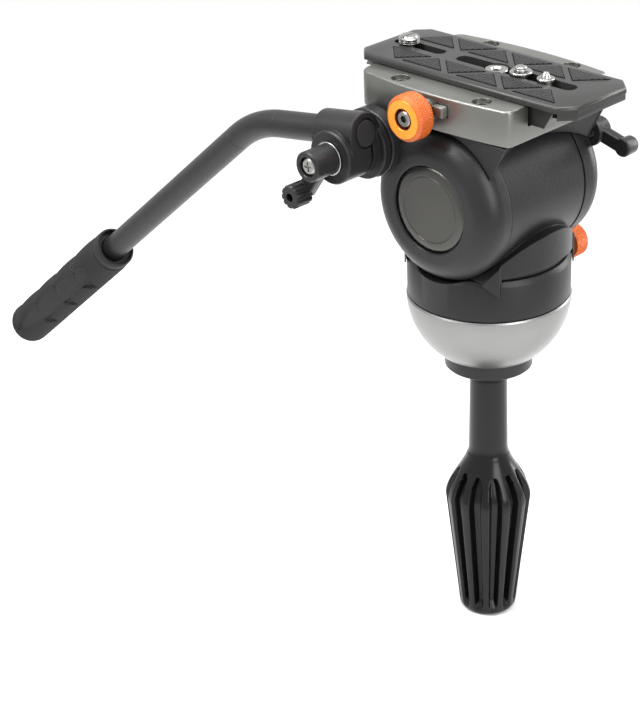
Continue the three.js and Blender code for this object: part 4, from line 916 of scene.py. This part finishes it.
def diamonds(shape, inner, depth, ridges, slant):
    """Draws in the points of a rim as two crossed sets of slanting grooves do."""
    def depth_at(radius, angle, height):
        slope = math.tau * height / slant
        left, right = math.cos(angle * ridges + slope), math.cos(angle * ridges - slope)
        return depth * (0.5 - 0.25 * (left + right)) if radius > inner else 0.0
    return drawn_in(shape, depth_at)


# %% Plate lock knob and its screw
RIM = 10.3
RIM_LOW = 42.6
RIM_WIDTH = 6.6
RIM_ROWS = 22
lock_place = at(0, LOCK_Y, TILT + LOCK_Z) @ ALONG_X
lock_outline = [(2.8, 39.5), (7.2, 39.5), (7.5, 39.8), (7.5, 41.8), (9.5, 41.8), (RIM, RIM_LOW)]
lock_outline += [(RIM, RIM_LOW + RIM_WIDTH * i / RIM_ROWS) for i in range(1, RIM_ROWS + 1)]
lock_outline += [(8.8, 50.7), (8.6, 50.7), (8.6, 50.3), (4.9, 50.3), (4.6, 50.0), (4.6, 47.8), (2.8, 47.8)]
lock_knob = diamonds(turned(lock_outline, 288), 9.9, 0.55, 54, 2.2)
piece("lock_knob", moved(lock_knob, lock_place), "orange_metal", "plate_lock", ["plate_lock_knob"])
# The knob's front face is a separate ring in the lighter orange, a painted highlight on the face that meets
# the lamps.
knob_face = turned([(4.75, 50.4), (8.5, 50.4), (8.5, 50.65), (8.35, 50.8), (4.9, 50.8), (4.75, 50.65)], 96)
piece("knob_face", moved(knob_face, lock_place), "orange_metal", "plate_lock", look="orange_painted_highlight")
# The recess wall inside the knob is drawn in the dark orange, painted shade where the recess lies in shadow.
cup_wall = turned([(4.05, 47.85), (4.55, 47.85), (4.55, 50.35), (4.45, 50.35), (4.4, 48.0), (4.05, 48.0)], 64)
piece("knob_recess", moved(cup_wall, lock_place), "orange_metal", "plate_lock", look="recess_painted_shade")
# A thin black disc in the bottom of the screw's hex socket: painted shade in the depth of the socket.
piece("socket_painted_shade", moved(rod(1.7, 48.75, 49.0, 6), lock_place), "black_coat", "plate_lock")
lock_head = turned([(0, 48.1), (3.5, 48.1), (3.5, 49.9), (3.1, 50.3), (0, 50.3)], 64)
lock_screw = bored(joined(lock_head, rod(2.5, 20.31, 48.5, 48)), rod(1.8, 48.7, 52, 6))
piece("lock_screw", moved(lock_screw, lock_place), "bright_steel", "plate_lock", ["plate_lock_screw"])

# %% [markdown]
# ## Tilt lock
# A short lever on the left presses a pad on the drum. Its ends are round, and its arm hangs a little below
# the level.

# %% Tilt lock lever
LEVER_BACK = 35.8
LEVER_REACH = 16.3
lever_place = at(0, TILT_LOCK_Y, TILT + TILT_LOCK_Z) @ Matrix.Rotation(math.radians(-15), 4, "X")
hub = turned([(2.5, 0), (5.0, 0), (5.4, 0.4), (5.4, 6.0), (4.8, 6.5), (2.5, 6.5)], 64)
hub = mirrored(moved(hub, at(LEVER_BACK, 0, 0) @ ALONG_X))
knob = turned([(0, 0), (3.7, 0), (4.2, 0.6), (4.0, 6.8), (3.4, 7.8), (2.4, 8.0), (0, 8.0)], 64)
knob = mirrored(moved(knob, at(LEVER_BACK, LEVER_REACH, 0) @ ALONG_X))
arm = chamfered(box((-LEVER_BACK - 5, 0, -3), (-LEVER_BACK, LEVER_REACH, 3)), 0.6, each_edge)
lever = bored(joined(hub, arm, knob), rod_x(2.5, -50, -30, 0, 0, 32))
piece("lock_lever", moved(lever, lever_place), "black_coat", "tilt_lock", ["tilt_lock_lever"])
lever_screw = bored(rod_x(2.2, -42.3, -33.6, 0, 0, 48), rod_x(1.2, -44, -41.2, 0, 0, 6))
piece("lock_lever_screw", moved(lever_screw, lever_place), "bright_steel", "tilt_lock", ["tilt_lock_screw"])

# %% Pan lock
pan_place = at(0, PAN_LOCK_Y, PAN_LOCK_Z) @ ALONG_X
pan_outline = [(0, 39.5), (7.3, 39.5), (8, 40.2), (8, 46.3), (7.3, 47), (4.6, 47), (4.6, 45), (0, 45)]
pan_knob = knurled(turned(pan_outline, 96), 7.7, 0.4, 96)
piece("pan_knob", mirrored(moved(pan_knob, pan_place)), "orange_metal", "pan_lock", ["pan_lock_knob"])
pan_screw = bored(joined(rod(4, 45.4, 47, 64), rod(2.5, 29.5, 46, 48)), rod(2.1, 46.2, 48, 6))
piece("pan_screw", mirrored(moved(pan_screw, pan_place)), "bright_steel", "pan_lock", ["pan_lock_screw"])

# %% [markdown]
# ## Camera plate
# The plate slides on the receiver. Its corners are cut off and its top edge is bevelled. Two slots let the
# screws be moved to suit the camera, and twelve ribbed rubber pads lie in shallow triangular recesses.

# %% Outlines on the camera plate
PLATE_HALF = 22.3
PLATE_REAR = -59.7
PLATE_FRONT = 61.0
PLATE_CORNER = 6.2
PAD_NEAR = 7.3
PAD_WIDTH = 11.1
PAD_HALF = 11.15
PAD_PITCH = 15.6
FIRST_PAD = -38.5


def plate_outline():
    low, high = PLATE_REAR + PLATE_CORNER, PLATE_FRONT - PLATE_CORNER
    side = PLATE_HALF - PLATE_CORNER
    return [(PLATE_HALF, low), (PLATE_HALF, high), (side, PLATE_FRONT), (-side, PLATE_FRONT),
            (-PLATE_HALF, high), (-PLATE_HALF, low), (-side, PLATE_REAR), (side, PLATE_REAR)]


def slot(half_width, rear, front, low, high):
    """A slot between two ends, with round ends."""
    outline = arc((0, front - half_width), half_width, 0, 180, 24)
    outline += arc((0, rear + half_width), half_width, 180, 360, 24)
    return pushed(outline, low, high)


def pad_outline(index, side, margin):
    """A triangle between the two sides of the strip of pads; each second one is turned round."""
    pad_far = PAD_NEAR + PAD_WIDTH
    base_x, tip_x = ((PAD_NEAR, pad_far), (pad_far, PAD_NEAR))[index % 2]
    tip_y = FIRST_PAD + PAD_PITCH * index
    inscribed = 2 * PAD_HALF * PAD_WIDTH / (2 * PAD_HALF + 2 * math.hypot(PAD_WIDTH, PAD_HALF))
    centre = base_x + math.copysign(inscribed, tip_x - base_x)
    share = 1 + margin / inscribed
    corners = [(base_x, tip_y - PAD_HALF), (base_x, tip_y + PAD_HALF), (tip_x, tip_y)]
    return [(side * (centre + (x - centre) * share), tip_y + (y - tip_y) * share) for x, y in corners]


# %% Camera plate
PLATE_LOW = 51.7
PLATE_TOP = 54.6
FOOT = [(-17, 47.4), (17, 47.4), (13.5, PLATE_LOW), (13.5, 53), (-13.5, 53), (-13.5, PLATE_LOW)]
HEAD_ROOM_TOP = 50.8
BUSH_Y = 3.9
PADS = [(index, side) for side in (1, -1) for index in range(6)]
flange = chamfered(pushed(plate_outline(), PLATE_LOW, PLATE_TOP), 1.5, edges_above(PLATE_TOP - 0.1), 3)
foot = sawn_y(FOOT, -57.5, 55.5)
lip = pushed([(-22.1, 54.8), (22.1, 54.8), (16, 60.8), (-16, 60.8)], 48.5, 52)
lip = chamfered(lip, 0.5, lambda edge: max(vert.co.y for vert in edge.verts) > 60 or not level_edge(edge))
slots = [slot(3.7, -18, 47, 40, 60), slot(3.1, -55, -26, 40, 60)]
head_rooms = [slot(6, -20.3, 49.3, 40, HEAD_ROOM_TOP), slot(6, -56.15, -26, 40, HEAD_ROOM_TOP)]
bush_hole = moved(rod(5.5, 40, 60, 64), at(0, BUSH_Y, 0))
plate = bored(joined(flange, foot, lip), *slots, *head_rooms, bush_hole)
recesses = merged(*[pushed(pad_outline(index, side, 0.3), 53.8, 60) for index, side in PADS])
piece("top_plate", raised(bored(plate, recesses)), "dark_anodised", "plate", ["camera_plate"])

# %% Pads and bush
PAD_TOP = 55.0
for number, (index, side) in enumerate(PADS, 1):
    pad = pushed(pad_outline(index, side, 0), 54.1, PAD_TOP)
    pad = chamfered(pad, 0.2, edges_above(PAD_TOP - 0.1), 1)
    piece(f"rubber_pad_{number}", raised(pad), "black_rubber", "plate", [f"grip_pad_{number}"],
          look="ribbed_rubber")
bush = turned([(2, 48.1), (2.4, 47.7), (5.2, 47.7), (5.2, 53.7), (4.9, 54.1), (2.9, 54.1), (2, 53.2)], 64)
piece("threaded_bush", moved(bush, at(0, BUSH_Y, TILT)), "bright_steel", "plate", ["plate_bush"])

# %% [markdown]
# ## Screws and pin of the plate
# A thread is turned as a saw-tooth outline. Seen from a distance its rings look the same as a real helix.

# %% Camera screw, accessory screw and video pin
def thread(radius, low, high, pitch, depth):
    """Teeth of a thread as pairs of radius and height, with a short chamfer at the top."""
    count = int((high - low - 0.6) / pitch)
    made = []
    for i in range(count):
        z = low + pitch * i
        made += [(radius - depth, z + 0.1 * pitch), (radius, z + 0.45 * pitch), (radius, z + 0.6 * pitch),
                 (radius - depth, z + 0.95 * pitch)]
    return made + [(radius - depth, high - 0.5), (radius - depth - 0.5, high)]


def slotted(shape, top, width, depth):
    """Saws a slot for a coin or a screwdriver into the top."""
    return bored(shape, box((-20, -width / 2, top - depth), (20, width / 2, top + 5)))


QUARTER_INCH = 3.175
THREE_EIGHTHS = 4.76
SCREW_HEAD = [(0, 47.7), (5.6, 47.7), (5.6, 50.4)]
camera_outline = [*SCREW_HEAD, (QUARTER_INCH, 50.4), (QUARTER_INCH, 54.9), (4.7, 54.9), (5, 55.2),
                  (5, 55.8), (4.7, 56.1), *thread(QUARTER_INCH, 56.1, 58.2, 0.55, 0.45), (0, 58.2)]
screw = slotted(turned(camera_outline, 64), 58.2, 0.8, 0.4)
piece("quarter_bolt", moved(screw, at(0, 17.5, TILT)), "bright_steel", "quarter_screw", ["camera_screw"])
accessory_outline = [*SCREW_HEAD, (2.7, 50.4), (2.7, 54.9), *thread(THREE_EIGHTHS, 54.9, 58.6, 1.0, 0.6),
                     (0, 58.6)]
screw = slotted(turned(accessory_outline, 64), 58.6, 1.2, 0.5)
piece("large_bolt", moved(screw, at(0, -47, TILT)), "bright_steel", "three_eighths_screw",
      ["accessory_screw"])
pin_outline = [*SCREW_HEAD, (QUARTER_INCH, 50.4), (QUARTER_INCH, 54.9), (3.6, 54.9), (3.9, 55.2), (3.9, 55.8),
               (3.6, 56.1), (2.1, 56.1), (1.2, 58.2), (0.8, 58.6), (0, 58.6)]
piece("slide_pin", moved(turned(pin_outline, 64), at(0, 31, TILT)), "bright_steel", "pin", ["video_pin"])

# %% [markdown]
# ## Arm of the pan bar
# The clamp holds the bar in a bore across it, split by a narrow slot that the lever's screw pulls together.
# All of it leans by nine degrees with the rosette, so it is built level and then turned.

# %% Bar clamp
ARM = at(0, ROSETTE_Y, TILT + ROSETTE_Z) @ Matrix.Rotation(math.radians(9), 4, "X")
BAR_X = 54.1
BAR_Z = 8.6
CLAMP_BACK = 46.8
CLAMP_HALF = 12
BAR_ROUND = 9.2
SPLIT_HALF = 0.65


def across_y(radius, low, high, steps=64, chamfer=0.0):
    """A round bar along Y on the axis of the pan bar."""
    return moved(rod(radius, low, high, steps, chamfer), at(BAR_X, 0, BAR_Z) @ ALONG_Y)


hump_top = box((CLAMP_BACK, -CLAMP_HALF, 0), (BAR_X, CLAMP_HALF, 13.2))
clamp = joined(rod_x(15, 42.8, 47.1, 0, 0, 96, 0.4), rod_x(CLAMP_HALF, CLAMP_BACK, 65.7, 0, 0, 96, 0.6),
               box((CLAMP_BACK, -CLAMP_HALF, 0), (BAR_X + BAR_ROUND, CLAMP_HALF, BAR_Z)),
               chamfered(hump_top, 1.0, edges_above(13)),
               across_y(BAR_ROUND, -CLAMP_HALF, CLAMP_HALF, 96, 0.5))
split = box((51.5 - SPLIT_HALF, -30, -30), (51.5 + SPLIT_HALF, 30, BAR_Z))
clamp = bored(clamp, across_y(6.5, -30, 30), rod_x(2.3, 40, 70, 0, 0, 32), split)
piece("clamp_block", moved(clamp, ARM), "black_coat", "bar_holder", ["bar_clamp"])

# %% Clamp lever
KNOB_Y = -14.6
KNOB_Z = -15.2
KNOB_FLUTES = 10


def shallow_flutes(radius, angle, height):
    wave = math.cos(angle * KNOB_FLUTES)
    return 0.75 * eased(-wave, 0.1, 1.0) if radius > 3 else 0.0


hub = turned([(2.6, 66.8), (6.8, 66.8), (6.8, 78.9), (6.2, 79.5),
              (4.8, 79.5), (4.4, 79.1), (4.4, 77.1), (2.6, 77.1)], 96)
arm = chamfered(box((66.5, 0, -3.6), (72, math.hypot(KNOB_Y, KNOB_Z), 3.6)), 0.7, each_edge)
moved(arm, Matrix.Rotation(math.atan2(KNOB_Z, KNOB_Y), 4, "X"))
knob = bored(drawn_in(rod(5.4, 69.6, 79, 12 * KNOB_FLUTES, 0.6), shallow_flutes), rod(2, 74, 85, 48))
lever = bored(joined(moved(hub, ALONG_X), arm), rod_x(2.6, 60, 85, 0, 0, 48))
lever = joined(lever, moved(knob, at(0, KNOB_Y, KNOB_Z) @ ALONG_X))
piece("bar_lever", moved(lever, ARM), "black_coat", "bar_lever", ["clamp_lever"])

# %% Washer and cross-head screw of the lever
CROSS_HALF = 0.45
CROSS_REACH = 2.2
washer = turned([(2.6, 66), (7.2, 66), (7.5, 66.2), (7.5, 66.5), (7.2, 66.7), (2.6, 66.7)], 96)
piece("lever_washer", moved(washer, ARM @ ALONG_X), "bright_steel", "bar_lever")
head = turned([(0, 77.4), (3.9, 77.4), (3.9, 78.2), (3.0, 78.8), (0, 78.8)], 64)
cross = [box((-x, -y, 78.0), (x, y, 80)) for x, y in ((CROSS_HALF, CROSS_REACH), (CROSS_REACH, CROSS_HALF))]
lever_screw = bored(joined(head, rod(2, 36.3, 77.8, 32)), *cross)
piece("bar_lever_screw", moved(lever_screw, ARM @ ALONG_X), "bright_steel", "bar_lever",
      ["clamp_lever_screw"])

# %% Bar, drawn out from its front end and bent
BAR = 6.2
BAR_MOUTH = 11.7
BEND = math.radians(31.3)
TANGENT = 16.0
CORNER_Y = -57.2
REAR_LENGTH = 206.4


def drawn(shape, faces, offset):
    """Draws the end of a bar out, and gives its new end."""
    grown = bmesh.ops.extrude_face_region(shape, geom=faces)
    lifted = [part for part in grown["geom"] if isinstance(part, bmesh.types.BMVert)]
    bmesh.ops.translate(shape, verts=lifted, vec=offset)
    return [part for part in grown["geom"] if isinstance(part, bmesh.types.BMFace)]


bar = bmesh.new()
bmesh.ops.create_circle(bar, cap_ends=True, radius=BAR, segments=64,
                        matrix=at(BAR_X, BAR_MOUTH, BAR_Z) @ Matrix.Rotation(math.radians(90), 4, "X"))
end = drawn(bar, bar.faces[:], (0, CORNER_Y + TANGENT - BAR_MOUTH, 0))
centre = (BAR_X, CORNER_Y + TANGENT, BAR_Z - TANGENT / math.tan(BEND / 2))
bent = bmesh.ops.spin(bar, geom=end, cent=centre, axis=(1, 0, 0), dvec=(0, 0, 0), angle=BEND, steps=16,
                      use_merge=False, use_duplicate=False)
end = [part for part in bent["geom_last"] if isinstance(part, bmesh.types.BMFace)]
rear = REAR_LENGTH - TANGENT
drawn(bar, end, (0, -rear * math.cos(BEND), -rear * math.sin(BEND)))
bmesh.ops.recalc_face_normals(bar, faces=bar.faces)
bar = bored(bar, across_y(4.9, 3.7, 20, 48))
piece("bent_bar", moved(bar, ARM), "black_coat", "bar", ["pan_bar"])
plug = joined(across_y(4.6, 4, 12.1), across_y(5.6, 12, 12.6, 64, 0.15))
piece("end_plug", moved(plug, ARM), "black_rubber", "bar", ["pan_bar_plug"])

# %% [markdown]
# ## Grip of the pan bar
# The rubber grip swells in bands. Four notches on its upper side stop the fingers, and a smooth hollow on
# each side takes the palm. Three notches under each hollow narrow to a point. The grip is turned along its
# own axis, and the points of its skin are then drawn in.

# %% Outline of the rubber grip
GRIP = 10.9
GRIP_LENGTH = 113.0
GRIP_END = 6.5
BAR_IN_GRIP = 60
SKIN = 7
RINGS = 240
bar_room = BAR_IN_GRIP + 0.3
grip_section = [(0, bar_room), (6.5, bar_room), (6.5, 3), (9.1, 3), (9.4, 0), (10.1, 0), (10.4, 0.6),
                (10.5, 4.3), (9.9, 4.8), (9.9, 5.6), (10.5, 6.1)]
for ring in range(1, RINGS + 1):
    grip_section.append((GRIP, SKIN + (GRIP_LENGTH - GRIP_END - SKIN) * ring / RINGS))
grip_section += arc((GRIP - GRIP_END, GRIP_LENGTH - GRIP_END), GRIP_END, 4, 86, 20)[:-1]
grip_section += [(0.6, GRIP_LENGTH), (0, GRIP_LENGTH)]
grip = turned(grip_section, 120)


# %% Bands, palm hollows and ribs of the grip
NOTCHES = (31.5, 54.8, 78.1, 101.4)
POINTED_NOTCHES = (28, 52, 77)
BANDS_START = 6.5
PALM_MIDDLE = 63
PALM_HALF = 43
PALM_DEPTH = 1.5
RIB_HEIGHT = 0.34
RIB_STEP = 1.65
DEEPEST = 2.2


def palm_share(along, angle):
    """1 in the leaf-shaped palm hollow, 0 outside it; the angle is from the upper side."""
    place = (along - PALM_MIDDLE) / PALM_HALF
    if abs(place) >= 1:
        return 0.0
    half_angle = 38 * math.sqrt(1 - place * place)
    ripple = 5 * abs(math.sin(math.pi * (along - NOTCHES[0]) / (NOTCHES[1] - NOTCHES[0])))
    low = 100 - half_angle - ripple * min(1.0, half_angle / 20)
    high = 98 + half_angle
    return eased(min(angle - low, high - angle), 0, 5)


def grip_depth(along, angle):
    """How deep the skin lies below the plain round grip."""
    if along < BANDS_START or along > GRIP_LENGTH - 2:
        return 0.0
    edges = (BANDS_START, *NOTCHES, GRIP_LENGTH + 4)
    rear = max(edge for edge in edges if edge <= along)
    front = min(edge for edge in edges if edge > along)
    in_band = (along - rear) / (front - rear) * 2 - 1
    nearest = min(abs(along - edge) for edge in NOTCHES)
    upper = eased(110 - angle, 0, 60)
    depth = upper * (0.5 * in_band ** 2 + 0.8 * (1 - eased(nearest, 0.2, 2.0)))
    palm = palm_share(along, angle)
    down = (angle - 130) / 34
    if 0 <= down <= 1 and any(abs(along - notch) < 4.5 * (1 - down) for notch in POINTED_NOTCHES):
        depth = max(depth, PALM_DEPTH)
    rib = RIB_HEIGHT * (1 - palm) * (0.5 + 0.5 * math.cos(math.tau * along / RIB_STEP))
    return min(DEEPEST, depth + rib + PALM_DEPTH * palm)


for vert in grip.verts:
    radius = math.hypot(vert.co.x, vert.co.y)
    if radius > 8.5 and vert.co.z > BANDS_START:
        angle = abs(math.degrees(math.atan2(vert.co.x, vert.co.y)))
        vert.co.xy *= (radius - grip_depth(vert.co.z, angle)) / radius

# %% Grip on the bar
to_mouth = REAR_LENGTH - BAR_IN_GRIP
mouth = at(BAR_X, CORNER_Y - to_mouth * math.cos(BEND), BAR_Z - to_mouth * math.sin(BEND))
grip_place = ARM @ mouth @ Matrix.Rotation(math.radians(90) + BEND, 4, "X")
piece("rubber_grip", moved(grip, grip_place), "black_rubber", "bar", ["pan_bar_grip"], crease=60)

# %% [markdown]
# ## The finished head
# The view layer is brought up to date at the end.

# %% End
bpy.context.view_layer.update()
